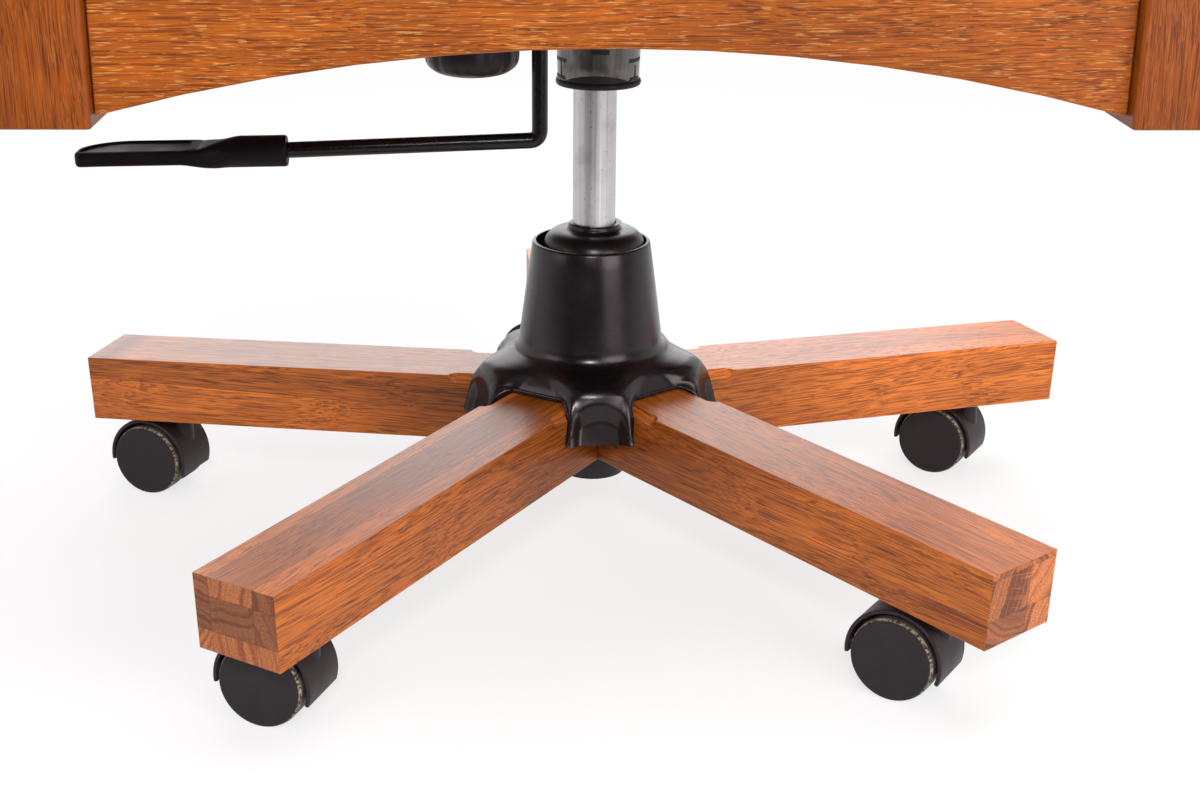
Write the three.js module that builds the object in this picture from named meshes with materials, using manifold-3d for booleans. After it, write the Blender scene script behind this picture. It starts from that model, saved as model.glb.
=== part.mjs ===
// Bankers swivel chair: an oak chair with flat arms and a slatted back, on a gas lift
// and a five-armed oak base with hooded twin-wheel casters.
// Millimetres, +Z up, the sitter faces -Y. The parts are laid out about the lift column's
// axis with the floor at zero, and the finished chair is centred on its footprint.
import * as THREE from 'three';
import { mergeVertices } from 'three/addons/utils/BufferGeometryUtils.js';
import Module from 'manifold-3d';

const wasm = await Module();
wasm.setup();

// Clearances
const seat_gap = 0.3; // between pieces that rest on or butt against each other
const run_gap = 0.3; // radial clearance of a shaft in its hole
const overrun = 4; // how far a cutter runs past the face it cuts

// Casters
const wheel_radius = 25.5;
const wheel_width = 16.4;
const wheel_edge = 1.4; // bevel between the tread and the outer face
const axle_radius = 3;
const axle_grip = 11; // how deep the axle sits in each wheel
const web_width = 9; // middle web of the hood, between the wheels
const hood_width = 36;
const hood_gap = 2; // between the tread and the hood
const hood_wall = 2.6;
const hood_front_angle = -19; // degrees, where the hood ends on the stem side
const hood_back_angle = 187; // degrees, where it ends on the trailing side
const web_hub_radius = 8;
const caster_trail = 19.5; // from the stem's axis back to the axle
const stem_radius = 5.5;
const stem_length = 24; // inside the arm
const boss_radius = 7.5;
const boss_rise = 5; // of the stem's boss above the hood

// Base arms
const arm_count = 5;
const arm_reach = 358.4; // column axis to the arm's end
const arm_width = 56;
const arm_height = 45.4;
const arm_droop = 2.32; // degrees, the fall of each arm towards its end
const arm_turn = 2.2; // degrees, how far the base is turned under the seat
const caster_reach = 305; // column axis to the caster's stem
const caster_headings = [-35, -33, -30, -22, -21]; // degrees, axle to stem
const chamfer_leg = 5.5; // stopped chamfer on the arm's upper edges, beside the hub cover
const chamfer_reach = 92;
const chamfer_runout = 8;

// Gas lift
const column_radius = 25;
const column_foot_radius = 22.5;
const column_wall = 2.5;
const column_below_arms = 26.5;
const column_taper_height = 64;
const column_floor = 5;
const column_recess = 4; // the floor is set up inside the tube's lower end
const socket_wall = 4;
const flange_radius = 52;
const flange_height = 4;
const cylinder_radius = 14;
const cylinder_wall = 1.7;
const cylinder_seal = 8;
const cylinder_valve = 17;
const cylinder_taper = 0.8; // radius lost along the taper that the seat sits on
const taper_height = 41;
const bush_height = 55;
const bush_flange = 3;
const rod_radius = 5;
const rod_collar_radius = 9;
const rod_collar_height = 3;
const piston_height = 10;
const piston_lift = 14; // from the seal's upper face to the piston, lift fully out
const bearing_radius = 13;
const bearing_height = 6;
const clip_radius = 8.5;
const clip_height = 1.5;
const rod_tail = 1.2; // rod below the clip
const lift_down = 80; // stroke below the photographed height
const lift_up = 20; // stroke above it
const bump_room = 7; // between the rod's collar and the seal, lift fully down
const cylinder_shown = 91; // between the dust cap and the collar as photographed
const pin_radius = 3;
const button_radius = 4.5;
const button_height = 2;
const button_rise = 6; // of the button's top above the cylinder's top

// Hub cover and dust cap
const cover_wall = 2.8;
const cover_height = 92.7; // arm top to rim
const cover_rim_radius = 39;
const cover_lip = 1.4; // rounding of the rim
const cover_bell_radius = 47.5;
const cover_bell_height = 28.6; // arm top to the foot of the bell
const cover_edge_reach = 66.2; // straight edge over each arm
const cover_edge_rise = 2.5;
const cover_rib_radius = 86;
const cover_lobe_drop = 21.8; // below the arm top
const cover_recess = 6.5; // hollow of each lobe's panel
const lobe_half_angle = 15.2; // degrees
const cap_radius = 34.5;
const cap_wall = 2;
const cap_rise = 12; // of the cap's neck above the cover's rim
const cap_skirt = 5; // of the dome's edge below the cover's rim
const cap_neck_radius = 17;
const cap_shift = 1.2; // the loose cap rests a little to one side
const column_top_drop = 6; // column's top below the cover's rim

// Tilt mechanism
const collar_radius = 26;
const collar_flare = 1.25; // radius gained up to the tray
const collar_height = 37.5;
const collar_shift = 2; // of the collar's outside to the right of the cylinder's axis
const collar_lip = 2.4;
const collar_recess_radius = 21.5;
const collar_recess_height = 4;
const collar_notch = 5;
const tray_wall = 3;
const tray_half_width = 46;
const tray_front = 90;
const tray_back = 48;
const tray_corner = 6;
const tray_boss_radius = 19;
const tray_boss_height = 12;
const pivot_forward = 45; // tilt pivot in front of the column axis
const pivot_rise = 10; // above the tray's floor
const pivot_radius = 6;
const pivot_head = 3;
const pivot_head_radius = 9;
const plate_rise = 47.5; // seat plate above the tray's floor
const plate_height = 3;
const plate_half_width = 100;
const plate_front = 155;
const plate_back = 95;
const plate_corner = 10;
const plate_hole_radius = 4;
const cheek_gap = 3; // between the tray and the plate's cheeks
const cheek_top = 62;
const cheek_foot_radius = 14;
const tray_slope_drop = 29; // how far the tray's rim falls behind the pivot
const knob_side = 76.5; // left of the column axis
const knob_forward = 88; // in front of it
const knob_radius = 28;
const knob_height = 22;
const knob_dome = 8.4;
const knob_wall = 4;
const knob_floor = 7.5;
const knob_flute = 0.7;
const knob_flute_count = 12;
const knob_lift = 20.5; // of the knob's lowest point above the collar's foot
const knob_room = 24; // between the knob's rim and the spring's seat
const bolt_radius = 5;
const bolt_head_radius = 8;
const bolt_head_height = 5;
const bolt_slot = 5; // how far back the bolt swings in its seat as the chair tilts
const bolt_land = 2; // of the knob's floor below the bolt's end
const lug_height = 4;
const lug_rim = 11; // of metal round the slot
const spring_radius = 12;
const spring_wire_radius = 2.2;
const spring_turns = 5;

// Lift lever
const lever_radius = 4.7;
const lever_side = 37; // left of the column axis
const lever_forward = 105;
const lever_bend = 7.2;
const lever_drop = 85.2; // from the lever's axis to its level run
const lever_run = 178; // level run up to inside the handle
const lever_fall = 2.3; // degrees, the droop of that run
const finger_reach = 6; // past the button's axis
const handle_fall = 1; // degrees, the droop of the handle itself
const handle_length = 121.5;
const handle_radius = 9.2;
const ferrule_length = 33;
const handle_shoulder = 22; // slope between the ferrule and the paddle
const paddle_near = 13; // straight edge before the handle's axis
const paddle_far = 22; // curved edge behind it
const paddle_near_round = 5;
const paddle_far_round = 30;
const paddle_height = 9.2;
const paddle_drop = 5.6; // of the paddle's underside below the handle's axis
const paddle_fall = 1; // degrees, the droop of the paddle under the ferrule
const paddle_rim = 3;
const paddle_hollow = 1.6;

// Seat frame
const clear_width = 522; // between the posts
const post_side = 50;
const post_ease = 1.5;
const frame_front = 265; // column axis to the front posts' faces
const frame_depth = 510;
const rail_setback = 9;
const rail_thickness = 22;
const rail_height = 97;
const arch_rise = 34;
const post_foot = 5; // posts reach this far below the rails
const batten_height = 35;
const batten_width = 50;
const board_height = 12;
const board_inset = 3; // from the posts
const cushion_height = 30;
const cushion_crown = 14;
const cushion_corner = 34;
const cushion_draw = 4; // how far the cushion's sides pull in
const cushion_overhang = 3; // in front of the board

// Arms and back
const armrest_rise = 196; // rail top to the armrest's underside
const armrest_height = 25;
const armrest_width = 110;
const armrest_inset = 17; // inside the posts' inner faces
const armrest_front = 27; // beyond the posts' front faces
const armrest_tail = 18; // beyond the rear posts' back faces
const armrest_taper = 14; // width lost towards the back
const armrest_corner = 22;
const back_bend = 14; // rail top to the bend of the rear posts
const back_rake = 10; // degrees
const back_length = 548; // along the raked part
const post_top_depth = 38;
const post_bend_reach = 60;
const back_curve = 24; // sagitta of the curved rails
const crest_height = 88;
const crest_arch = 16;
const crest_drop = 16; // crest rail's ends below the post tops
const lower_rail_height = 55;
const lower_rail_rise = 66; // above the bend
const back_rail_thickness = 22;
const slat_count = 5;
const slat_width = 58;
const slat_thickness = 10;

// Facet counts
const round_steps = 28;
const wheel_steps = 20;
const hole_steps = 14;
const arc_steps = 12;
const rod_sides = 10;

// Heights and places that follow
const turn = Math.PI * 2;
const radians = THREE.MathUtils.degToRad;
const droop = Math.tan(radians(arm_droop));
const hood_outer = wheel_radius + hood_gap + hood_wall;
const hood_inner = wheel_radius + hood_gap;
const boss_top = wheel_radius + hood_outer + boss_rise;
const arm_under = boss_top + seat_gap + (boss_radius + caster_reach) * droop;
const arm_thick = arm_height / Math.cos(radians(arm_droop));
const socket_radius = column_radius + run_gap + socket_wall;
const arm_sector = turn / arm_count;
const column_foot = arm_under - column_below_arms;
const cover_base = arm_under + arm_thick - cover_edge_reach * droop;
const cover_rim = cover_base + cover_height;
const column_top = cover_rim - column_top_drop;
const collar_foot = cover_rim + cap_rise + cylinder_shown;
const tray_under = collar_foot + collar_height;
const tray_floor = tray_under + tray_wall;
const taper_foot = tray_under - collar_height / 2;
const cylinder_top = taper_foot + taper_height;
const column_floor_top = column_foot + column_recess + column_floor;
const bearing_top = column_floor_top + seat_gap + bearing_height;
const rod_collar_top = bearing_top + seat_gap + rod_collar_height;
const cylinder_foot = rod_collar_top + bump_room + lift_down;
const piston_foot = cylinder_foot + lift_up + cylinder_seal + piston_lift;
const pivot_height = tray_floor + pivot_rise;
const plate_under = tray_floor + plate_rise;
const plate_top = plate_under + plate_height;
const button_top = cylinder_top + button_rise;
const lever_height = button_top + seat_gap + lever_radius;
const knob_foot = collar_foot + knob_lift;
const knob_rim = knob_foot + knob_height;
const lug_under = knob_rim + knob_room;
const rail_top = plate_top + seat_gap + batten_height;
const rail_under = rail_top - rail_height;
const post_under = rail_under - post_foot;
const board_under = rail_top + seat_gap;
const cushion_under = board_under + board_height + seat_gap;
const armrest_under = rail_top + armrest_rise;
const post_inner = clear_width / 2;
const post_outer = post_inner + post_side;
const frame_back = frame_depth - frame_front;
const bend_height = rail_top + back_bend;
const bend_depth = frame_back - post_side / 2;

// Solids: closed meshes made from geometry, joined and cut
function bare(geometry) {
  const shell = geometry.clone();
  shell.deleteAttribute('normal');
  shell.deleteAttribute('uv');
  const merged = mergeVertices(shell);
  const corners = merged.index.array;
  const kept = [];
  for (let i = 0; i < corners.length; i += 3) {
    const [a, b, c] = [corners[i], corners[i + 1], corners[i + 2]];
    if (a !== b && b !== c && c !== a) kept.push(a, b, c);
  }
  return new wasm.Manifold(new wasm.Mesh({
    numProp: 3,
    vertProperties: new Float32Array(merged.attributes.position.array),
    triVerts: new Uint32Array(kept),
  }));
}

function dressed(manifold) {
  const mesh = manifold.getMesh();
  const geometry = new THREE.BufferGeometry();
  geometry.setAttribute('position', new THREE.BufferAttribute(mesh.vertProperties, 3));
  geometry.setIndex(new THREE.BufferAttribute(mesh.triVerts, 1));
  return geometry;
}

function join(first, ...others) {
  return dressed(others.reduce((sum, next) => sum.add(bare(next)), bare(first)));
}

function cut(first, ...tools) {
  return dressed(tools.reduce((rest, tool) => rest.subtract(bare(tool)), bare(first)));
}

function common(first, second) {
  return dressed(bare(first).intersect(bare(second)));
}

// A solid of revolution about Z from [radius, height] points, in either order
function lathe(profile, steps = round_steps) {
  let area = 0;
  profile.forEach(([r, z], i) => {
    const [nextR, nextZ] = profile[(i + 1) % profile.length];
    area += r * nextZ - nextR * z;
  });
  const ordered = area > 0 ? profile : [...profile].reverse();
  const points = ordered.map(([r, z]) => new THREE.Vector2(r, z));
  if (points[0].x > 0) points.push(points[0].clone());
  const geometry = new THREE.LatheGeometry(points, steps);
  return geometry.rotateX(turn / 4);
}

function rod(radius, foot, top, steps = hole_steps) {
  return lathe([[0, foot], [radius, foot], [radius, top], [0, top]], steps);
}

// An outline extruded up Z from foot to top
function prism(shape, foot, top, steps = arc_steps) {
  const options = { depth: top - foot, bevelEnabled: false, curveSegments: steps };
  return new THREE.ExtrudeGeometry(shape, options).translate(0, 0, foot);
}

// An outline drawn in X and Z, extruded from y = near to y = far
function frontPrism(shape, near, far, steps) {
  return prism(shape, -far, -near, steps).rotateX(turn / 4);
}

// An outline drawn in Y and Z, extruded from x = left to x = right
function sidePrism(shape, left, right, steps) {
  const basis = new THREE.Matrix4().makeBasis(
    new THREE.Vector3(0, 1, 0),
    new THREE.Vector3(0, 0, 1),
    new THREE.Vector3(1, 0, 0),
  );
  return prism(shape, left, right, steps).applyMatrix4(basis);
}

function polygon(points) {
  return new THREE.Shape(points.map(([x, y]) => new THREE.Vector2(x, y)));
}

// A polygon whose corners [x, y, radius] are rounded
function softShape(corners) {
  const shape = new THREE.Shape();
  corners.forEach(([x, y, radius], i) => {
    const here = new THREE.Vector2(x, y);
    const [px, py] = corners[(i + corners.length - 1) % corners.length];
    const [nx, ny] = corners[(i + 1) % corners.length];
    const before = new THREE.Vector2(px, py).sub(here).setLength(radius).add(here);
    const after = new THREE.Vector2(nx, ny).sub(here).setLength(radius).add(here);
    if (i === 0) shape.moveTo(before.x, before.y);
    else shape.lineTo(before.x, before.y);
    if (radius > 0) shape.quadraticCurveTo(x, y, after.x, after.y);
  });
  return shape.closePath();
}

function softBox(left, right, near, far, radius) {
  return softShape([
    [left, near, radius], [right, near, radius], [right, far, radius], [left, far, radius],
  ]);
}

// A closed skin through rings of equal length; the ends are closed by fans, or when looped
// the last ring meets the first
function skin(rings, looped = false) {
  const width = rings[0].length;
  const positions = rings.flat().flatMap((p) => [p.x, p.y, p.z]);
  const index = [];
  const bands = looped ? rings.length : rings.length - 1;
  for (let k = 0; k < bands; k += 1) {
    const low = k * width;
    const high = ((k + 1) % rings.length) * width;
    for (let i = 0; i < width; i += 1) {
      const j = (i + 1) % width;
      index.push(low + i, low + j, high + j, low + i, high + j, high + i);
    }
  }
  if (!looped) {
    [[0, false], [rings.length - 1, true]].forEach(([k, upward]) => {
      const middle = new THREE.Vector3();
      rings[k].forEach((p) => middle.addScaledVector(p, 1 / width));
      positions.push(middle.x, middle.y, middle.z);
      const centre = positions.length / 3 - 1;
      for (let i = 0; i < width; i += 1) {
        const [a, b] = [k * width + i, k * width + ((i + 1) % width)];
        if (upward) index.push(centre, a, b);
        else index.push(centre, b, a);
      }
    });
  }
  const geometry = new THREE.BufferGeometry();
  geometry.setAttribute('position', new THREE.Float32BufferAttribute(positions, 3));
  geometry.setIndex(index);
  return geometry;
}

function around(count, place) {
  return Array.from({ length: count }, (_, i) => place((turn * i) / count, i));
}

// A path through stations, each of which becomes one ring of a tube
class StationPath extends THREE.Curve {
  constructor(stations) {
    super();
    this.stations = stations;
  }

  getPoint(share, target = new THREE.Vector3()) {
    const place = Math.min(Math.max(share, 0), 1) * (this.stations.length - 1);
    const i = Math.min(Math.floor(place), this.stations.length - 2);
    return target.copy(this.stations[i]).lerp(this.stations[i + 1], place - i);
  }

  getUtoTmapping(share) {
    return share;
  }
}

// Stations along straight runs joined by round bends
function bentStations(points, bend, bendSteps) {
  const stations = [points[0]];
  for (let i = 1; i < points.length - 1; i += 1) {
    const start = points[i - 1].clone().sub(points[i]).setLength(bend).add(points[i]);
    const end = points[i + 1].clone().sub(points[i]).setLength(bend).add(points[i]);
    const arc = new THREE.QuadraticBezierCurve3(start, points[i], end);
    stations.push(...arc.getPoints(bendSteps));
  }
  stations.push(points[points.length - 1]);
  return stations;
}

function tube(stations, radius, sides) {
  const section = new THREE.Shape(around(sides, (angle) => new THREE.Vector2(
    radius * Math.cos(angle),
    radius * Math.sin(angle),
  )));
  return new THREE.ExtrudeGeometry(section, {
    steps: stations.length - 1,
    bevelEnabled: false,
    extrudePath: new StationPath(stations),
  });
}

// Finishes
function finish(colour, roughness, metalness = 0) {
  return () => new THREE.MeshStandardMaterial({ color: colour, roughness, metalness });
}

const oak = finish(0xb5622a, 0.42);
const plywood = finish(0xc59a62, 0.7);
const leather = finish(0x4a2c1c, 0.5);
const blackPlastic = finish(0x1c1b1d, 0.45);
const wheelPlastic = finish(0x2a2729, 0.7);
const blackSteel = finish(0x161515, 0.4, 0.6);
const brightSteel = finish(0xb9b9bd, 0.3, 1);
const dullSteel = finish(0x5a5654, 0.5, 0.9);

function piece(parent, name, geometry, material) {
  const mesh = new THREE.Mesh(geometry, material());
  mesh.name = name;
  parent.add(mesh);
  return mesh;
}

function assembly(parent, x = 0, y = 0, z = 0, heading = 0) {
  const group = new THREE.Group();
  group.position.set(x, y, z);
  group.rotation.z = heading;
  parent.add(group);
  return group;
}

// Casters, drawn with the stem's axis on Z and the axle behind it on -X
function wheelGeometry() {
  const facet = 1 / Math.cos(turn / 2 / wheel_steps);
  const tread = wheel_radius * facet;
  const bore = axle_radius + run_gap;
  return lathe([
    [0, axle_grip + run_gap],
    [bore, axle_grip + run_gap],
    [bore, 0],
    [tread, 0],
    [tread, wheel_width - wheel_edge],
    [tread - wheel_edge, wheel_width],
    [0, wheel_width],
  ], wheel_steps).rotateX(-turn / 4).rotateY(turn / 2 / wheel_steps);
}

function hoodOutline() {
  const from = radians(hood_front_angle);
  const to = radians(hood_back_angle);
  const shape = new THREE.Shape();
  shape.absarc(0, 0, hood_outer, from, to, false);
  shape.absarc(0, 0, web_hub_radius, to, from + turn, false);
  return shape.closePath();
}

function hoodGeometry() {
  const half = hood_width / 2;
  const atAxle = (geometry) => geometry.translate(-caster_trail, 0, wheel_radius);
  const block = atAxle(frontPrism(hoodOutline(), -half, half));
  const boss = rod(boss_radius, wheel_radius + web_hub_radius, boss_top);
  const wheelRoom = [1, -1].map((side) => {
    const room = rod(hood_inner, web_width / 2, half + overrun, round_steps);
    return atAxle(room.rotateX((side * -turn) / 4));
  });
  const reach = web_width / 2 + seat_gap + axle_grip;
  const axle = atAxle(rod(axle_radius, -reach, reach, rod_sides).rotateX(turn / 4));
  const stem = rod(stem_radius, boss_top - overrun, boss_top + stem_length, rod_sides);
  return join(cut(join(block, boss), ...wheelRoom), axle, stem);
}

function addCasters(chair) {
  const wheel = wheelGeometry();
  const hood = hoodGeometry();
  caster_headings.forEach((heading, i) => {
    const at = radians(arm_turn) + arm_sector * (i - 0.75);
    const place = [caster_reach * Math.cos(at), caster_reach * Math.sin(at)];
    const caster = assembly(chair, ...place, 0, radians(heading));
    piece(caster, `caster_hood_${i + 1}`, hood, blackPlastic);
    const axle = assembly(caster, -caster_trail, 0, wheel_radius);
    const side = web_width / 2 + seat_gap;
    piece(axle, `caster_wheel_${i + 1}_left`, wheel, wheelPlastic).position.y = side;
    const right = piece(axle, `caster_wheel_${i + 1}_right`, wheel, wheelPlastic);
    right.position.y = -side;
    right.rotation.z = turn / 2;
  });
}

// Base arms, drawn along +X from the column axis
function chamferCutter(side) {
  const bevel = chamfer_leg * Math.SQRT1_2;
  const start = chamfer_reach - Math.sqrt(2 * chamfer_runout * bevel - bevel ** 2);
  const shape = new THREE.Shape();
  shape.moveTo(0, -bevel);
  shape.lineTo(start, -bevel);
  shape.absarc(start, chamfer_runout - bevel, chamfer_runout, -turn / 4, 0, false);
  shape.lineTo(0, chamfer_runout - bevel);
  const half = chamfer_leg + overrun;
  const lean = Math.SQRT1_2;
  const basis = new THREE.Matrix4().makeBasis(
    new THREE.Vector3(1, 0, 0),
    new THREE.Vector3(0, side * lean, lean),
    new THREE.Vector3(0, -lean, side * lean),
  );
  basis.setPosition(0, (side * arm_width) / 2, arm_height);
  return prism(shape.closePath(), -half, half, arc_steps / 2).applyMatrix4(basis);
}

function armGeometry() {
  const length = arm_reach / Math.cos(radians(arm_droop)) + overrun;
  const beam = new THREE.BoxGeometry(length, arm_width, arm_height);
  beam.translate(length / 2 - overrun, 0, arm_height / 2);
  const shaped = cut(beam, chamferCutter(1), chamferCutter(-1));
  shaped.rotateY(radians(arm_droop)).translate(0, 0, arm_under);
  const apex = seat_gap / 2 / Math.sin(arm_sector / 2);
  const far = arm_reach + overrun;
  const spread = (far - apex) * Math.tan(arm_sector / 2);
  const foot = arm_under - far * droop - overrun;
  const top = arm_under + arm_thick + overrun;
  const wedge = prism(polygon([[apex, 0], [far, -spread], [far, spread]]), foot, top);
  const bore = rod(socket_radius + seat_gap, foot, top, round_steps);
  const stemTop = boss_top + stem_length + seat_gap;
  const stemHole = rod(stem_radius + run_gap, foot, stemTop).translate(caster_reach, 0, 0);
  return cut(common(shaped, wedge), bore, stemHole);
}

function addArms(chair) {
  const arm = armGeometry();
  for (let i = 0; i < arm_count; i += 1) {
    const heading = radians(arm_turn) + arm_sector * (i - 0.75);
    piece(chair, `base_arm_${i + 1}`, arm, oak).rotation.z = heading;
  }
}

// Gas lift
function columnRadiusAt(height) {
  const share = Math.min((height - column_foot) / column_taper_height, 1);
  return column_foot_radius + (column_radius - column_foot_radius) * share;
}

function columnGeometry() {
  const bore = column_foot_radius - column_wall;
  const topBore = column_radius - column_wall;
  const bushSeat = column_top - bush_height;
  return lathe([
    [column_foot_radius - column_wall / 2, column_foot],
    [column_foot_radius, column_foot + column_wall / 2],
    [column_radius, column_foot + column_taper_height],
    [column_radius, column_top],
    [topBore, column_top],
    [topBore, bushSeat],
    [bore, bushSeat - column_wall],
    [bore, column_floor_top],
    [rod_radius + run_gap, column_floor_top],
    [rod_radius + run_gap, column_floor_top - column_floor],
    [bore, column_floor_top - column_floor],
    [bore, column_foot],
  ]);
}

function socketGeometry() {
  const foot = arm_under + column_wall;
  const flangeFoot = arm_under + arm_thick - socket_radius * droop + seat_gap;
  const flangeTop = flangeFoot + flange_height;
  const fit = (height) => [columnRadiusAt(height) + run_gap, height];
  return lathe([
    fit(foot),
    [socket_radius, foot],
    [socket_radius, flangeFoot],
    [flange_radius, flangeFoot],
    [flange_radius, flangeTop],
    fit(flangeTop),
    fit(column_foot + column_taper_height),
  ]);
}

function bushGeometry() {
  const outer = column_radius - column_wall - seat_gap;
  const foot = column_top - bush_height + seat_gap;
  const inner = cylinder_radius + run_gap;
  return lathe([
    [inner, foot],
    [outer, foot],
    [outer, column_top + seat_gap],
    [column_radius - column_wall / 2, column_top + seat_gap],
    [column_radius - column_wall / 2, column_top + bush_flange],
    [inner, column_top + bush_flange],
  ]);
}

function cylinderGeometry() {
  const bore = cylinder_radius - cylinder_wall;
  const taper = cylinder_radius - cylinder_taper;
  return lathe([
    [rod_radius + run_gap, cylinder_foot],
    [cylinder_radius, cylinder_foot],
    [cylinder_radius, taper_foot],
    [taper, cylinder_top],
    [pin_radius + run_gap, cylinder_top],
    [pin_radius + run_gap, cylinder_top - cylinder_valve],
    [bore - cylinder_taper, cylinder_top - cylinder_valve],
    [bore, taper_foot],
    [bore, cylinder_foot + cylinder_seal],
    [rod_radius + run_gap, cylinder_foot + cylinder_seal],
  ]);
}

function pistonRodGeometry() {
  const piston = cylinder_radius - cylinder_wall - run_gap;
  const clipTop = column_floor_top - column_floor - seat_gap;
  const clipFoot = clipTop - clip_height - 2 * seat_gap;
  const neck = rod_radius - rod_tail;
  const collarFoot = rod_collar_top - rod_collar_height;
  return lathe([
    [0, clipFoot - rod_tail],
    [rod_radius, clipFoot - rod_tail],
    [rod_radius, clipFoot],
    [neck, clipFoot],
    [neck, clipTop],
    [rod_radius, clipTop],
    [rod_radius, collarFoot],
    [rod_collar_radius, collarFoot],
    [rod_collar_radius, rod_collar_top],
    [rod_radius, rod_collar_top],
    [rod_radius, piston_foot],
    [piston, piston_foot],
    [piston, piston_foot + piston_height],
    [0, piston_foot + piston_height],
  ], hole_steps);
}

function clipGeometry() {
  const top = column_floor_top - column_floor - 2 * seat_gap;
  const inner = rod_radius - rod_tail + seat_gap;
  const ring = lathe([
    [inner, top - clip_height],
    [clip_radius, top - clip_height],
    [clip_radius, top],
    [inner, top],
  ], hole_steps);
  const mouth = new THREE.BoxGeometry(clip_radius + overrun, inner, clip_height + overrun);
  return cut(ring, mouth.translate((clip_radius + overrun) / 2, 0, top - clip_height / 2));
}

function bearingGeometry() {
  const foot = column_floor_top + seat_gap;
  const race = (bearing_radius + rod_radius) / 2;
  const groove = bearing_height / 6;
  const middle = foot + bearing_height / 2;
  return lathe([
    [rod_radius + run_gap, foot],
    [bearing_radius, foot],
    [bearing_radius, middle - groove],
    [race, middle - groove],
    [race, middle + groove],
    [bearing_radius, middle + groove],
    [bearing_radius, bearing_top],
    [rod_radius + run_gap, bearing_top],
  ], hole_steps);
}

function releasePinGeometry() {
  const buttonFoot = button_top - button_height;
  return lathe([
    [0, cylinder_top - cylinder_valve],
    [pin_radius, cylinder_top - cylinder_valve],
    [pin_radius, buttonFoot],
    [button_radius, buttonFoot],
    [button_radius, button_top],
    [0, button_top],
  ], hole_steps);
}

// Hub cover: a bell whose skirt runs out straight over each arm and hangs down between the
// arms in lobes. Each column of its grid is a profile from the rim to the edge.
const cover_ridge_shares = [[0.08, 0.84], [0.34, 0.75], [0.58, 0.53], [0.8, 0.22], [0.9, -0.02]];
const cover_valley_shares = [[0.14, 0.79], [0.38, 0.6], [0.6, 0.44], [0.79, 0.3], [0.92, 0.19]];
const cover_fade_shares = [[0, 1], [0, 1], [0.08, 0.88], [0.25, 0.64], [0.4, 0.53]];
const cover_inner_rings = [9, 8, 6, 4, 3, 0];
const cover_column_shares = [0, 0.16, 0.3, 0.38, 0.4075, 0.421, 0.435, 0.49, 0.53, 0.66, 0.83];
const cover_side_shares = [0.965, 1.03];

function smooth(value) {
  const share = Math.min(Math.max(value, 0), 1);
  return share * share * (3 - 2 * share);
}

// How far down a lobe's side is at an angle from the lobe's middle, from one to zero
function lobeDrop(offset) {
  const [foot, head] = cover_side_shares;
  const lobe = radians(lobe_half_angle);
  return (head * lobe - offset) / ((head - foot) * lobe);
}

// The outer profile at an angle from a lobe's middle; the arm's middle is half a sector off
function coverProfile(offset) {
  const half = arm_sector / 2;
  const lobe = radians(lobe_half_angle);
  const step = lobe / 15;
  const slant = 1 / Math.cos(half - offset);
  const out = smooth((lobe + 4 * step - offset) / (5 * step));
  const down = smooth(lobeDrop(offset));
  const hollow = cover_recess * Math.max(0, 1 - (offset / (lobe - step)) ** 2);
  const bellFoot = cover_base + cover_bell_height;
  const profile = [
    [cover_rim_radius - cover_lip, cover_rim],
    [cover_rim_radius, cover_rim - cover_lip],
    [(cover_rim_radius + cover_bell_radius) / 2, (cover_rim + bellFoot) / 2],
    [cover_bell_radius, bellFoot],
  ];
  cover_ridge_shares.forEach(([ridgeR, ridgeZ], k) => {
    const [valleyR, valleyZ] = cover_valley_shares[k];
    const [fadeStart, fadeEnd] = cover_fade_shares[k];
    const early = smooth((fadeEnd - offset / half) / (fadeEnd - fadeStart));
    const ridge = cover_bell_radius + (cover_rib_radius - cover_bell_radius) * ridgeR;
    const flat = cover_bell_radius + (cover_edge_reach - cover_bell_radius) * valleyR;
    const straight = flat * (1 + (slant - 1) * valleyR);
    const sunk = k === cover_ridge_shares.length - 1 ? hollow * 0.7 : 0;
    const ridgeHeight = cover_base + cover_bell_height * ridgeZ;
    const valleyHeight = cover_base + cover_bell_height * valleyZ;
    const fall = k === cover_ridge_shares.length - 1 ? down : early;
    profile.push([
      straight + (ridge - sunk - straight) * early,
      valleyHeight + (ridgeHeight - valleyHeight) * fall,
    ]);
  });
  const edge = cover_edge_reach * slant;
  profile.push([
    edge + (cover_rib_radius - hollow - edge) * out,
    cover_base + cover_edge_rise - (cover_edge_rise + cover_lobe_drop) * down,
  ]);
  return profile;
}

// The same profile a wall's thickness further in
function inset(profile, k, down) {
  const [r, z] = profile[k];
  const [r0, z0] = profile[Math.max(k - 1, 0)];
  const [r1, z1] = profile[Math.min(k + 1, profile.length - 1)];
  const length = Math.hypot(r1 - r0, z1 - z0);
  if (k === 0) return [cover_rim_radius - cover_wall, cover_rim];
  const level = k === profile.length - 1 ? smooth(down) : 0;
  const outward = ((z0 - z1) / length) * (1 - level) + level;
  const upward = ((r1 - r0) / length) * (1 - level);
  return [r - cover_wall * outward, z - cover_wall * upward];
}

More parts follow.
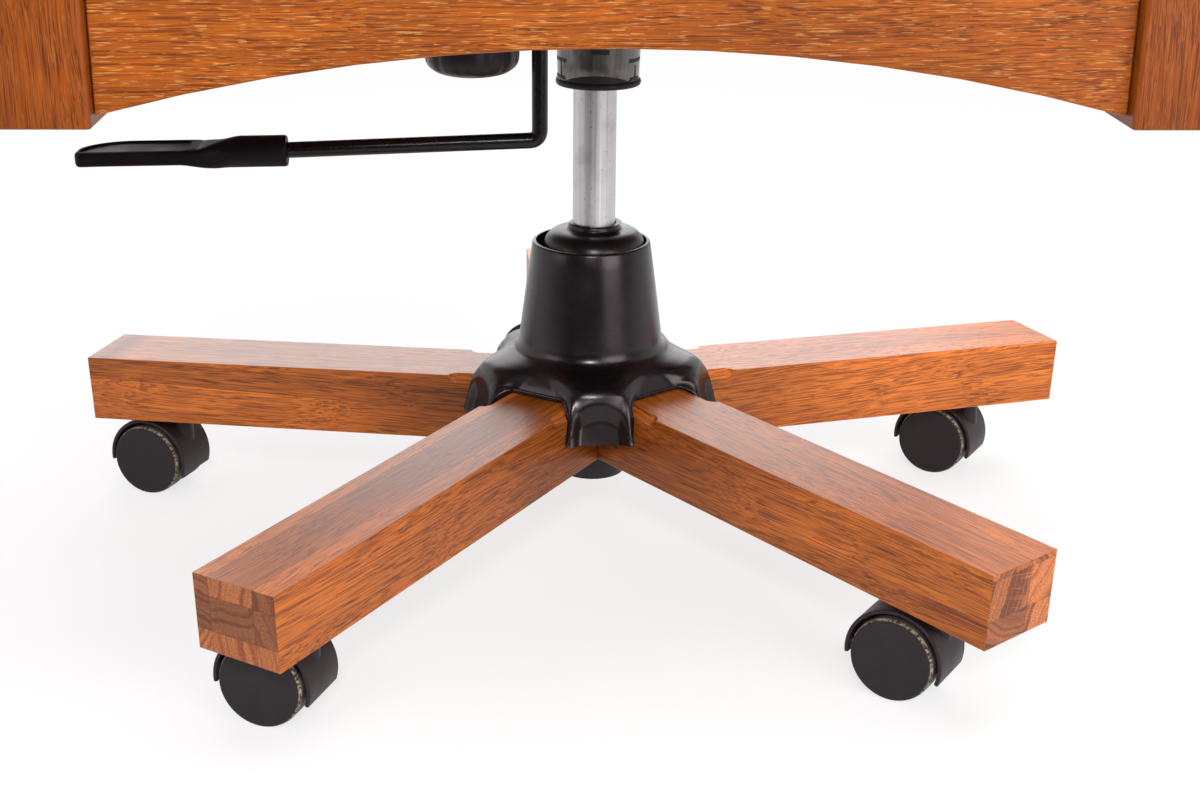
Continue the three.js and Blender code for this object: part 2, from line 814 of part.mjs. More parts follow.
function coverGeometry() {
  const half = arm_sector / 2;
  const offsets = [];
  for (let sector = 0; sector < arm_count; sector += 1) {
    const middle = half + sector * arm_sector;
    cover_column_shares.forEach((share) => offsets.push([middle + share * half, share * half]));
    offsets.push([middle + half, half]);
    [...cover_column_shares].reverse().slice(0, -1).forEach((share) => {
      offsets.push([middle + arm_sector - share * half, share * half]);
    });
  }
  const place = (angle, [r, z]) => new THREE.Vector3(r * Math.cos(angle), r * Math.sin(angle), z);
  const outer = [];
  const inner = [];
  const ringCount = coverProfile(0).length;
  for (let k = ringCount - 1; k >= 0; k -= 1) {
    outer.push(offsets.map(([angle, offset]) => place(angle, coverProfile(offset)[k])));
  }
  [...cover_inner_rings].reverse().forEach((k) => {
    inner.push(offsets.map(([angle, offset]) => (
      place(angle, inset(coverProfile(offset), k, lobeDrop(offset)))
    )));
  });
  return skin([...outer, ...inner], true);
}

function dustCapGeometry() {
  const foot = cover_rim - cap_skirt;
  const top = cover_rim + cap_rise;
  const rise = top - foot;
  const reach = cap_radius - cap_neck_radius;
  const inner = cylinder_radius + run_gap + cap_shift;
  const grip = column_radius + run_gap + cap_shift;
  const lug = grip + cap_wall;
  return lathe([
    [inner, top],
    [cap_neck_radius - cap_wall / 2, top],
    [cap_neck_radius, top - cap_wall],
    [cap_neck_radius + reach * 0.14, top - rise * 0.2],
    [cap_neck_radius + reach * 0.45, top - rise * 0.22],
    [cap_radius - reach * 0.25, top - rise * 0.36],
    [cap_radius - reach * 0.06, top - rise * 0.62],
    [cap_radius, foot],
    [cap_radius - cap_wall, foot],
    [cap_radius - reach * 0.3, foot + cap_wall],
    [lug, foot + cap_wall],
    [lug, foot - cap_skirt],
    [grip, foot - cap_skirt],
    [grip, foot + cap_wall * 2],
    [inner, foot + cap_wall * 2],
  ]);
}

// Tilt mechanism
function collarGeometry() {
  const bossTop = tray_floor + tray_boss_height;
  const boreAt = (height) => {
    const share = Math.max(0, (height - taper_foot) / taper_height);
    return [cylinder_radius - cylinder_taper * share + run_gap, height];
  };
  const outside = lathe([
    [0, collar_foot],
    [collar_radius + collar_flare / 2, collar_foot],
    [collar_radius + collar_flare, collar_foot + collar_lip],
    [collar_radius, collar_foot + collar_lip * 2],
    [collar_radius + collar_flare, tray_under + tray_wall / 2],
    [tray_boss_radius, tray_under + tray_wall / 2],
    [tray_boss_radius, bossTop],
    [0, bossTop],
  ]).translate(collar_shift, 0, 0);
  const recessTop = collar_foot + collar_recess_height;
  const inside = lathe([
    [0, collar_foot - overrun],
    [collar_recess_radius, collar_foot - overrun],
    [collar_recess_radius, recessTop],
    boreAt(recessTop),
    boreAt(taper_foot),
    boreAt(bossTop + overrun),
    [0, bossTop + overrun],
  ]);
  return cut(outside, inside);
}

function trayGeometry() {
  const rim = plate_under - seat_gap;
  const outline = (grow) => softBox(
    -tray_half_width - grow, tray_half_width + grow, -tray_front - grow, tray_back + grow,
    tray_corner + grow,
  );
  const outer = prism(outline(0), tray_under, rim, arc_steps / 2);
  const room = prism(outline(-tray_wall), tray_floor, rim + overrun, arc_steps / 2);
  const profile = polygon([
    [-tray_front - overrun, tray_under - overrun],
    [tray_back + overrun, tray_under - overrun],
    [tray_back + overrun, rim - tray_slope_drop],
    [-pivot_forward + pivot_radius, rim - pivot_head],
    [-pivot_forward - pivot_head, rim],
    [-tray_front - overrun, rim],
  ]);
  const reach = tray_half_width + overrun;
  const shape = common(cut(outer, room), sidePrism(profile, -reach, reach));
  return shape;
}

function lugGeometry() {
  const half = bolt_radius + lug_rim;
  const outer = knob_side + half;
  const inner = tray_half_width - tray_wall / 2;
  const shape = softShape([
    [-outer, -knob_forward - half, half / 2],
    [-inner, -tray_front + tray_corner, 0],
    [-inner, -knob_forward + half, 0],
    [-outer, -knob_forward + half, half / 2],
  ]);
  return prism(shape, lug_under, lug_under + lug_height, arc_steps / 2);
}

function slotCutter(x, y, radius, travel, foot, top) {
  const shape = new THREE.Shape();
  shape.absarc(x, y + travel, radius, 0, turn / 2, false);
  shape.absarc(x, y, radius, turn / 2, turn, false);
  return prism(shape.closePath(), foot, top, arc_steps / 2);
}

function housingGeometry() {
  const across = tray_half_width + overrun;
  const pinHole = rod(pivot_radius + run_gap, -across, across).rotateY(turn / 4);
  pinHole.translate(0, -pivot_forward, pivot_height);
  const leverHole = rod(lever_radius + run_gap, tray_front - tray_wall - overrun,
    tray_front + overrun).rotateX(turn / 4);
  leverHole.translate(-lever_side, 0, lever_height);
  const slot = slotCutter(-knob_side, -knob_forward, bolt_radius + run_gap, bolt_slot,
    lug_under - overrun, lug_under + lug_height + overrun);
  const bore = rod(cylinder_radius + run_gap, tray_under - overrun, tray_floor + overrun,
    round_steps);
  const notches = [1, -1].map((side) => {
    const notch = new THREE.BoxGeometry(collar_notch, collar_notch, collar_notch);
    return notch.translate(collar_shift + side * (collar_radius + collar_flare), -collar_notch,
      collar_foot + collar_height / 2);
  });
  const tray = cut(trayGeometry(), bore, pinHole, leverHole);
  return cut(join(tray, cut(collarGeometry(), ...notches), lugGeometry()), slot);
}

function cheekGeometry(side) {
  const near = tray_half_width + cheek_gap;
  const half = cheek_top / 2;
  const low = pivot_height - cheek_foot_radius;
  const shape = softShape([
    [-pivot_forward - half, plate_under + plate_height / 2, 0],
    [-pivot_forward - cheek_foot_radius, low, cheek_foot_radius * 0.9],
    [-pivot_forward + cheek_foot_radius, low, cheek_foot_radius * 0.9],
    [-pivot_forward + half, plate_under + plate_height / 2, 0],
  ]);
  const ends = [side * near, side * (near + plate_height)];
  const cheek = sidePrism(shape, Math.min(...ends), Math.max(...ends), arc_steps / 2);
  const hole = rod(pivot_radius + seat_gap, near - overrun, near + plate_height + overrun);
  hole.rotateY((side * turn) / 4).translate(0, -pivot_forward, pivot_height);
  return cut(cheek, hole);
}

function seatPlateGeometry() {
  const outline = softBox(-plate_half_width, plate_half_width, -plate_front, plate_back,
    plate_corner);
  const plate = prism(outline, plate_under, plate_top, arc_steps / 2);
  const edge = plate_corner + plate_hole_radius;
  const holes = [-plate_front + edge, plate_back - edge].flatMap((y) => [-1, 1].map((side) => {
    const hole = rod(plate_hole_radius, plate_under - overrun, plate_top + overrun, rod_sides);
    return hole.translate(side * (plate_half_width - edge), y, 0);
  }));
  const boltHole = rod(bolt_radius + seat_gap, plate_under - overrun, plate_top + overrun);
  boltHole.translate(-knob_side, -knob_forward, 0);
  return join(cut(plate, boltHole, ...holes), cheekGeometry(1), cheekGeometry(-1));
}

function pivotPinGeometry() {
  const half = tray_half_width + cheek_gap + plate_height + seat_gap;
  return lathe([
    [0, -half - pivot_head],
    [pivot_head_radius, -half - pivot_head],
    [pivot_head_radius, -half],
    [pivot_radius, -half],
    [pivot_radius, half],
    [pivot_head_radius, half],
    [pivot_head_radius, half + pivot_head],
    [0, half + pivot_head],
  ], hole_steps).rotateY(turn / 4).translate(0, -pivot_forward, pivot_height);
}

function tensionBoltGeometry() {
  const head = around(6, (angle) => [
    bolt_head_radius * Math.cos(angle), bolt_head_radius * Math.sin(angle),
  ]);
  const headFoot = plate_top + seat_gap;
  const shank = rod(bolt_radius, knob_foot + bolt_land, headFoot + bolt_head_height / 2);
  const top = prism(polygon(head), headFoot, headFoot + bolt_head_height);
  return join(shank, top).translate(-knob_side, -knob_forward, 0);
}

function knobGeometry() {
  const dome = knob_foot + knob_dome;
  const cavity = knob_foot + knob_floor;
  const inner = knob_radius - knob_wall;
  const fluted = (angle) => (knob_flute * (1 - Math.cos(angle * knob_flute_count))) / 2;
  const ring = (radius, z, depth) => around(knob_flute_count * 2, (angle) => {
    const r = radius - fluted(angle) * depth;
    return new THREE.Vector3(r * Math.cos(angle), r * Math.sin(angle), z);
  });
  const cup = skin([
    ring(knob_radius * 0.5, knob_foot, 0),
    ring(knob_radius * 0.8, knob_foot + knob_dome * 0.24, 0),
    ring(knob_radius * 0.94, knob_foot + knob_dome * 0.58, 1),
    ring(knob_radius, dome, 1),
    ring(knob_radius - knob_wall / 4, knob_rim, 1),
    ring(inner, knob_rim, 0),
    ring(inner, cavity, 0),
  ]);
  const bore = rod(bolt_radius + run_gap, knob_foot + bolt_land - run_gap, knob_rim);
  return cut(cup, bore).translate(-knob_side, -knob_forward, 0);
}

// The spring's wire stays clear of itself by the pitch less the wire's diameter
function springGeometry() {
  const foot = knob_foot + knob_floor + seat_gap + spring_wire_radius;
  const top = lug_under - seat_gap - spring_wire_radius;
  const steps = spring_turns * 8;
  const stations = Array.from({ length: steps + 1 }, (_, i) => {
    const angle = (turn * spring_turns * i) / steps;
    const x = spring_radius * Math.cos(angle) - knob_side;
    const y = spring_radius * Math.sin(angle) - knob_forward;
    return new THREE.Vector3(x, y, foot + ((top - foot) * i) / steps);
  });
  const pitch = stations[8].distanceTo(stations[0]);
  console.log('spring: gap between turns', pitch - 2 * spring_wire_radius);
  return tube(stations, spring_wire_radius, 5);
}

// Lift lever: a cranked rod whose finger lies over the release pin
function leverPoints() {
  const fall = radians(lever_fall);
  const corner = new THREE.Vector3(-lever_side, -lever_forward, lever_height - lever_drop);
  const run = new THREE.Vector3(-Math.cos(fall), 0, -Math.sin(fall)).multiplyScalar(lever_run);
  return [
    new THREE.Vector3(finger_reach, 0, lever_height),
    new THREE.Vector3(-lever_side, 0, lever_height),
    new THREE.Vector3(-lever_side, -lever_forward, lever_height),
    corner,
    corner.clone().add(run),
  ];
}

function leverRodGeometry() {
  return tube(bentStations(leverPoints(), lever_bend, 5), lever_radius, rod_sides);
}

// The handle is drawn along -X from the ferrule's mouth, then hung on the rod's end
function paddleGeometry() {
  const tip = -handle_length;
  const shoulder = -ferrule_length;
  const root = shoulder + handle_radius;
  const thin = shoulder - handle_shoulder;
  const under = -paddle_drop;
  const top = under + paddle_height;
  const waist = handle_radius * 0.8;
  const side = softShape([
    [tip, under, paddle_height / 2],
    [thin, under, handle_shoulder / 4],
    [shoulder, -waist, 0],
    [root, -waist, 0],
    [root, waist, 0],
    [shoulder, waist, paddle_rim],
    [thin, top, handle_shoulder / 4],
    [tip, top, paddle_height / 2],
  ]);
  const plan = softShape([
    [root, -waist, 0],
    [root, waist, 0],
    [thin, paddle_far, handle_shoulder / 2],
    [tip, paddle_far, paddle_far_round],
    [tip, -paddle_near, paddle_near_round],
    [thin, -paddle_near, handle_shoulder / 2],
  ]);
  const near = paddle_rim - paddle_near;
  const far = paddle_far - paddle_rim;
  const hollow = softShape([
    [thin, near, paddle_rim],
    [thin, far, paddle_rim],
    [tip + paddle_rim, far, paddle_far_round - paddle_rim],
    [tip + paddle_rim, near, paddle_near_round - paddle_rim],
  ]);
  const grow = paddle_far + overrun;
  const blade = common(
    frontPrism(side, -grow, grow, arc_steps / 2),
    prism(plan, -handle_radius - overrun, handle_radius + overrun, arc_steps / 2),
  );
  const paddle = cut(blade, prism(hollow, top - paddle_hollow, top + overrun, arc_steps / 2));
  return paddle.translate(-shoulder, 0, 0).rotateY(-radians(paddle_fall))
    .translate(shoulder, 0, 0);
}

// The handle droops less than the rod in it, about the middle of the ferrule
function handleGeometry() {
  const [, , , corner, end] = leverPoints();
  const grip = ferrule_length - paddle_rim;
  const bend = radians(lever_fall - handle_fall);
  const level = (geometry) => geometry.translate(grip / 2, 0, 0).rotateY(bend)
    .translate(-grip / 2, 0, 0);
  const ferrule = level(rod(handle_radius, 0, ferrule_length, hole_steps + 2)
    .rotateY(-turn / 4));
  const hole = rod(lever_radius + seat_gap, -overrun, grip + seat_gap).rotateY(-turn / 4);
  const handle = cut(join(ferrule, level(paddleGeometry())), hole);
  const mouth = end.clone().lerp(corner, grip / lever_run);
  return handle.rotateY(-radians(lever_fall)).translate(mouth.x, mouth.y, mouth.z);
}

function addMechanism(chair) {
  piece(chair, 'tilt_housing', housingGeometry(), dullSteel);
  piece(chair, 'seat_plate', seatPlateGeometry(), blackSteel);
  piece(chair, 'tilt_pivot_pin', pivotPinGeometry(), brightSteel);
  piece(chair, 'tension_bolt', tensionBoltGeometry(), brightSteel);
  piece(chair, 'tension_knob', knobGeometry(), blackPlastic);
  piece(chair, 'tension_spring', springGeometry(), dullSteel);
  piece(chair, 'lever_rod', leverRodGeometry(), blackSteel);
  piece(chair, 'lever_handle', handleGeometry(), blackPlastic);
}

function addLift(chair) {
  piece(chair, 'hub_socket', socketGeometry(), dullSteel);
  piece(chair, 'lift_column', columnGeometry(), blackSteel);
  piece(chair, 'guide_bush', bushGeometry(), blackPlastic);
  piece(chair, 'thrust_bearing', bearingGeometry(), brightSteel);
  piece(chair, 'retaining_clip', clipGeometry(), brightSteel);
  piece(chair, 'piston_rod', pistonRodGeometry(), brightSteel);
  piece(chair, 'gas_cylinder', cylinderGeometry(), brightSteel);
  piece(chair, 'release_pin', releasePinGeometry(), brightSteel);
  piece(chair, 'hub_cover', coverGeometry(), blackPlastic).rotation.z = radians(arm_turn)
    + arm_sector / 4;
  piece(chair, 'dust_cap', dustCapGeometry(), blackPlastic).position.x = cap_shift;
}

// Seat frame
function easedSquare(x, y, side) {
  const half = side / 2;
  const near = half - post_ease;
  return polygon([
    [x - near, y - half], [x + near, y - half], [x + half, y - near], [x + half, y + near],
    [x + near, y + half], [x - near, y + half], [x - half, y + near], [x - half, y - near],
  ]);
}

// A rail's face between two ends, with its lower edge arched
function archedFace(from, to) {
  const half = (to - from) / 2;
  const middle = (to + from) / 2;
  const radius = (half ** 2 + arch_rise ** 2) / (2 * arch_rise);
  const points = [[to, rail_top], [from, rail_top]];
  for (let i = 0; i <= arc_steps; i += 1) {
    const along = half * ((2 * i) / arc_steps - 1);
    const rise = Math.sqrt(radius ** 2 - along ** 2) - radius + arch_rise;
    points.push([middle + along, rail_under + rise]);
  }
  return polygon(points);
}

function rearPostOutline(grow = 0) {
  const rake = radians(back_rake);
  const along = new THREE.Vector2(Math.sin(rake), Math.cos(rake));
  const across = new THREE.Vector2(Math.cos(rake), -Math.sin(rake));
  const bend = new THREE.Vector2(bend_depth, bend_height);
  const half = post_side / 2 + grow;
  const tip = post_top_depth / 2 + grow;
  const at = (distance, offset) => bend.clone().addScaledVector(along, distance)
    .addScaledVector(across, offset);
  const mitre = half * Math.tan(rake / 2);
  const shape = new THREE.Shape();
  shape.moveTo(bend_depth - half, post_under);
  shape.lineTo(bend_depth + half, post_under);
  shape.lineTo(bend_depth + half, bend_height - post_bend_reach);
  const back = at(post_bend_reach, half);
  shape.quadraticCurveTo(bend_depth + half, bend_height - mitre, back.x, back.y);
  [at(back_length, tip), at(back_length, -tip)].forEach((p) => shape.lineTo(p.x, p.y));
  const front = at(post_bend_reach, -half);
  shape.lineTo(front.x, front.y);
  shape.quadraticCurveTo(bend_depth - half, bend_height + mitre, bend_depth - half,
    bend_height - post_bend_reach);
  return shape.closePath();
}

function rearPostGeometry(side) {
  const ends = [side * post_inner, side * post_outer];
  return sidePrism(rearPostOutline(), Math.min(...ends), Math.max(...ends), arc_steps / 2);
}

function cushionGeometry() {
  const halfX = post_inner - board_inset;
  const near = -frame_front + rail_setback - cushion_overhang;
  const far = frame_back - post_side - board_inset;
  const [middle, halfY] = [(near + far) / 2, (far - near) / 2];
  const outline = softBox(-halfX, halfX, -halfY, halfY, cushion_corner);
  const places = outline.getSpacedPoints(36).slice(0, -1);
  const ring = (scale, drawn, z) => places.map((p) => {
    const pull = cushion_draw * (2 - (p.x / halfX) ** 2 - (p.y / halfY) ** 2);
    const shrink = scale - (Math.max(pull, 0) + drawn) / halfY;
    return new THREE.Vector3(p.x * shrink, middle + p.y * shrink, z);
  });
  const top = cushion_under + cushion_height;
  const crown = (scale) => top + cushion_crown * (1 - scale ** 2);
  const round = cushion_height / 4;
  return skin([
    ring(0.5, 0, cushion_under),
    ring(1, round, cushion_under),
    ring(1, 0, cushion_under + round),
    ring(1, 0, top - round),
    ring(0.985, round / 3, top),
    ...[0.88, 0.68, 0.36].map((scale) => ring(scale, 0, crown(scale))),
  ]);
}

function addSeatFrame(seat) {
  const postX = (post_inner + post_outer) / 2;
  const frontY = -frame_front + post_side / 2;
  const railEnd = post_inner - seat_gap;
  const sideNear = -frame_front + post_side + seat_gap;
  const sideFar = frame_back - post_side - seat_gap;
  const frontFace = -frame_front + rail_setback;
  const rearFace = frame_back - rail_setback;
  const face = archedFace(-railEnd, railEnd);
  const sideOuter = post_outer - rail_setback;
  const sideInner = sideOuter - rail_thickness;
  [['left', -1], ['right', 1]].forEach(([name, side]) => {
    const post = prism(easedSquare(side * postX, frontY, post_side), post_under,
      armrest_under - seat_gap);
    piece(seat, `front_post_${name}`, post, oak);
    piece(seat, `rear_post_${name}`, rearPostGeometry(side), oak);
    const ends = [side * sideInner, side * sideOuter];
    const rail = sidePrism(archedFace(sideNear, sideFar), Math.min(...ends), Math.max(...ends));
    piece(seat, `side_rail_${name}`, rail, oak);
  });
  piece(seat, 'front_rail', frontPrism(face, frontFace, frontFace + rail_thickness), oak);
  piece(seat, 'rear_rail', frontPrism(face, rearFace - rail_thickness, rearFace), oak);
  const battenReach = sideInner - seat_gap;
  [['front', -plate_front + batten_width / 2], ['rear', plate_back - batten_width / 2]]
    .forEach(([name, y]) => {
      const outline = softBox(-battenReach, battenReach, y - batten_width / 2,
        y + batten_width / 2, post_ease);
      piece(seat, `seat_batten_${name}`, prism(outline, plate_top + seat_gap, rail_top, 1), oak);
    });
  const reach = post_inner - board_inset;
  const board = softBox(-reach, reach, frontFace, frame_back - post_side - board_inset,
    plate_corner);
  piece(seat, 'seat_board', prism(board, board_under, board_under + board_height, 3), plywood);
  piece(seat, 'seat_cushion', cushionGeometry(), leather);
}

// Arms and back
function armrestGeometry(side) {
  const inner = post_inner - armrest_inset;
  const outer = inner + armrest_width;
  const near = -frame_front - armrest_front;
  const rake = Math.tan(radians(back_rake));
  const far = frame_back + (armrest_under - bend_height) * rake + armrest_tail;
  const plan = softShape([
    [side * inner, near, armrest_corner],
    [side * outer, near, armrest_corner],
    [side * outer, -near * 0.2, armrest_width],
    [side * (outer - armrest_taper), far, armrest_corner],
    [side * inner, far, 0],
  ]);
  const blank = prism(plan, armrest_under, armrest_under + armrest_height, arc_steps / 2);
  const ends = [side * (inner - overrun), side * (post_outer + seat_gap)];
  const notch = sidePrism(rearPostOutline(seat_gap), Math.min(...ends), Math.max(...ends), 3);
  const behind = polygon([
    [frame_back, armrest_under - overrun],
    [far + overrun, armrest_under - overrun],
    [far + overrun, armrest_under + armrest_height + overrun],
    [frame_back, armrest_under + armrest_height + overrun],
  ]);
  return cut(blank, notch, sidePrism(behind, Math.min(...ends), Math.max(...ends), 3));
}

function curveDepth(x) {
  return back_curve * (1 - (x / post_inner) ** 2);
}

// A back rail in the raked frame: curved in plan, with its ends on the post's middle line
function backRailGeometry(foot, top) {
  const half = back_rail_thickness / 2;
  const end = post_inner - seat_gap;
  const places = Array.from({ length: arc_steps + 1 }, (_, i) => end * ((2 * i) / arc_steps - 1));
  const plan = polygon([
    ...places.map((x) => [x, curveDepth(x) - half]),
    ...[...places].reverse().map((x) => [x, curveDepth(x) + half]),
  ]);
  return prism(plan, foot, top);
}

function crestGeometry(foot, top) {
  const end = post_inner;
  const points = [[-end, foot], [end, foot]];
  for (let i = 0; i <= arc_steps; i += 1) {
    const x = end * (1 - (2 * i) / arc_steps);
    points.push([x, top - crest_arch * (x / end) ** 2]);
  }
  const reach = back_curve + back_rail_thickness;
  return common(backRailGeometry(foot, top), frontPrism(polygon(points), -reach, reach));
}

function addBack(seat) {
  const back = assembly(seat, 0, bend_depth, bend_height);
  back.rotation.x = -radians(back_rake);
  const crestTop = back_length - crest_drop + crest_arch;
  const crestFoot = crestTop - crest_height;
  const lowerTop = lower_rail_rise + lower_rail_height;
  piece(back, 'crest_rail', crestGeometry(crestFoot, crestTop), oak);
  piece(back, 'lower_back_rail', backRailGeometry(lower_rail_rise, lowerTop), oak);
  const slat = new THREE.BoxGeometry(slat_width, slat_thickness,
    crestFoot - lowerTop - 2 * seat_gap);
  for (let i = 0; i < slat_count; i += 1) {
    const x = (clear_width / slat_count) * (i + 0.5) - post_inner;
    const mesh = piece(back, `back_slat_${i + 1}`, slat, oak);
    mesh.position.set(x, curveDepth(x), (lowerTop + crestFoot) / 2);
    mesh.rotation.z = Math.atan((-2 * back_curve * x) / post_inner ** 2);
  }
}

function buildChair() {
  const chair = new THREE.Group();
  addCasters(chair);
  addArms(chair);
  addLift(chair);
  addMechanism(chair);
  addSeatFrame(chair);
  piece(chair, 'armrest_left', armrestGeometry(-1), oak);
  piece(chair, 'armrest_right', armrestGeometry(1), oak);
  addBack(chair);
  const box = new THREE.Box3().setFromObject(chair);
  const centre = box.getCenter(new THREE.Vector3());
  chair.position.set(-centre.x, -centre.y, -box.min.z);
  return chair;
}

export default buildChair();
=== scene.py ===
from math import atan2, copysign, cos, degrees, hypot, pi, radians, sin, sqrt

import bmesh
import bpy
import numpy as np
from mathutils import Matrix, Vector


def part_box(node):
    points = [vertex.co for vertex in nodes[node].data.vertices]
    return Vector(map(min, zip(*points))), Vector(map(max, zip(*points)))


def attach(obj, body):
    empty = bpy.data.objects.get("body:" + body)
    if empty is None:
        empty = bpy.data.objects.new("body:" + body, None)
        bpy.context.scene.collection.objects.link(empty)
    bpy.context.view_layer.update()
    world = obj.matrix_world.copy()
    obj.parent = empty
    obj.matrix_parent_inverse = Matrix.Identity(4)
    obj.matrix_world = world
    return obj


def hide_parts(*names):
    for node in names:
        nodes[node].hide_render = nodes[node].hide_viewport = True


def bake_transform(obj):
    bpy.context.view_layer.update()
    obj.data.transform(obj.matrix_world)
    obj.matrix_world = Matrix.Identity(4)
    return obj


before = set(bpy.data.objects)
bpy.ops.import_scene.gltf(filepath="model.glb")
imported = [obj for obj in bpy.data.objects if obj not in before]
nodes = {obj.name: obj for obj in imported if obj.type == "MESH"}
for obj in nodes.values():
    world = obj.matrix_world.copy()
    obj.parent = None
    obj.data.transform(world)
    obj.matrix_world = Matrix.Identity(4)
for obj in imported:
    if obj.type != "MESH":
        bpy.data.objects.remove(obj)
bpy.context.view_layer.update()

MM = 0.001
TURN = 2 * pi
UP = Vector((0, 0, 1))

# The column's axis; shapes below are in millimetres from it, with the floor at zero
AXIS = sum((Vector(corner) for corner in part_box("gas_cylinder")), Vector()) / 2
AXIS.z = 0
TO_AXIS = Matrix.Translation(AXIS)
SCENE = bpy.context.scene

# Sizes of the frame that the pieces are drawn from
WHEEL_RADIUS = 25.5
WHEEL_WIDTH = 16.4
WHEEL_START = 4.8
HOOD_OUTER = 30.1
HOOD_INNER = 27.5
HOOD_HALF = 18
TRAIL = 19.5
STEM_REACH = 305
BOSS_TOP = 60.6
HEADINGS = (-35, -33, -30, -22, -21)
SECTOR = 72
ARM_TURN = 2.2
ARM_TOP = 116.3
RIM = 208.98
COLLAR_FOOT = 311.98
TRAY_UNDER = 349.48
COLLAR_SHIFT = 2
CYLINDER_FOOT = 152.6
CYLINDER_TOP = 371.7
KNOB_FOOT = 332.5
KNOB_PLACE = (-76.5, -88)
LEVER_HEIGHT = 382.7
LEVER_SIDE = -37
LEVER_Y = -105
LEVER_RUN_Z = 297.5


def arm_angle(i):
    return radians(ARM_TURN + SECTOR * (i - 0.75))


def polar(radius, turn):
    return radius * cos(turn), radius * sin(turn)


def around(reach, height, angle):
    return (*polar(reach, radians(angle)), height)


def smooth(value):
    share = min(max(value, 0), 1)
    return share * share * (3 - 2 * share)


def rise(value, low, high):
    return smooth((value - low) / (high - low))


# Meshes
def linked(name, data):
    thing = bpy.data.objects.new(name, data)
    SCENE.collection.objects.link(thing)
    return thing


def mesh_of(name, verts, faces):
    """A mesh in metres from points in millimetres, with its faces turned outwards."""
    mesh = bpy.data.meshes.new(name)
    mesh.from_pydata([tuple(c * MM for c in v) for v in verts], [], faces)
    mesh.validate()
    work = bmesh.new()
    work.from_mesh(mesh)
    bmesh.ops.recalc_face_normals(work, faces=work.faces)
    work.to_mesh(mesh)
    work.free()
    return mesh


def settle(piece):
    """Works a piece's modifiers into its mesh."""
    bpy.context.view_layer.update()
    shape = piece.evaluated_get(bpy.context.evaluated_depsgraph_get())
    mesh = bpy.data.meshes.new_from_object(shape)
    piece.modifiers.clear()
    piece.data = mesh


def make(name, verts, faces, *rest, **more):
    """A piece drawn in millimetres about the column's axis, or about a place of its own."""
    return install(name, mesh_of(name, verts, faces), *rest, **more)


def install(name, mesh, material, body, place=None, stands_for=None, sharp=35, slot=None):
    """Adds a mesh as a piece that rides on a body, where one is given."""
    piece = linked(name, mesh)
    if place is not None:
        piece.matrix_world = TO_AXIS @ place
    bpy.context.view_layer.update()
    mesh.materials.clear()
    mesh.materials.append(material)
    mesh.shade_smooth()
    mesh.set_sharp_from_angle(angle=radians(sharp))
    if body:
        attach(piece, body)
    if stands_for:
        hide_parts(stands_for)
    return piece


def at(x=0, y=0, z=0, heading=0):
    shift = Matrix.Translation(Vector((x, y, z)) * MM)
    return shift @ Matrix.Rotation(heading, 4, "Z")


def lathe(profile, steps):
    """Rings about Z from [radius, height] points; a point on the axis closes to a fan."""
    verts, faces, rings = [], [], []
    for radius, height in profile:
        if radius < 1e-6:
            rings.append([len(verts)] * steps)
            verts.append((0, 0, height))
            continue
        rings.append(list(range(len(verts), len(verts) + steps)))
        verts += [(*polar(radius, TURN * k / steps), height) for k in range(steps)]
    for low, high in zip(rings, rings[1:]):
        for k in range(steps):
            j = (k + 1) % steps
            face = list(dict.fromkeys([low[k], low[j], high[j], high[k]]))
            if len(face) > 2:
                faces.append(face)
    return verts, faces


def skin(rings, closed=True, looped=False):
    """Quads between rings of equal length. Rings are closed, or open lines; the last one joins
    the first where they loop, and both end in flat faces where they don't."""
    width = len(rings[0])
    verts = [point for ring in rings for point in ring]
    faces = []
    for k in range(len(rings) if looped else len(rings) - 1):
        a, b = k * width, (k + 1) % len(rings) * width
        for i in range(width if closed else width - 1):
            j = (i + 1) % width
            faces.append([a + i, a + j, b + j, b + i])
    if not looped:
        faces.append(list(range(width - 1, -1, -1)))
        faces.append([len(verts) - width + i for i in range(width)])
    return verts, faces


def slab(outline, low, high, axis="Y"):
    """An outline extruded between two values of the axis it doesn't use."""
    order = {"Y": (0, 2, 1), "Z": (0, 1, 2)}[axis]
    return skin([[[(a, b, level)[n] for n in order] for a, b in outline]
                 for level in (low, high)])


def merged(*parts):
    verts, faces = [], []
    for more_verts, more_faces in parts:
        base = len(verts)
        verts += more_verts
        faces += [[base + i for i in face] for face in more_faces]
    return verts, faces


def catmull(points, steps):
    """A smooth curve through 2-D points, with one count of steps or one a segment. Its slopes
    allow for the distance between points, so short segments beside long ones don't bulge."""
    pts = [np.array(p, float) for p in points]
    ends = [2 * pts[0] - pts[1], *pts, 2 * pts[-1] - pts[-2]]
    gaps = [np.linalg.norm(b - a) for a, b in zip(ends, ends[1:])]
    slopes = [((b - a) / before * after + (c - b) / after * before) / (before + after)
              for a, b, c, before, after in zip(ends, ends[1:], ends[2:], gaps, gaps[1:])]
    out = []
    for k, count in enumerate(np.broadcast_to(steps, len(pts) - 1)):
        start, end, gap = pts[k], pts[k + 1], gaps[k + 1]
        for n in range(count):
            t = n / count
            out.append(start * (2 * t ** 3 - 3 * t ** 2 + 1) + end * (3 * t ** 2 - 2 * t ** 3)
                       + slopes[k] * gap * (t ** 3 - 2 * t ** 2 + t)
                       + slopes[k + 1] * gap * (t ** 3 - t ** 2))
    out.append(pts[-1])
    return out


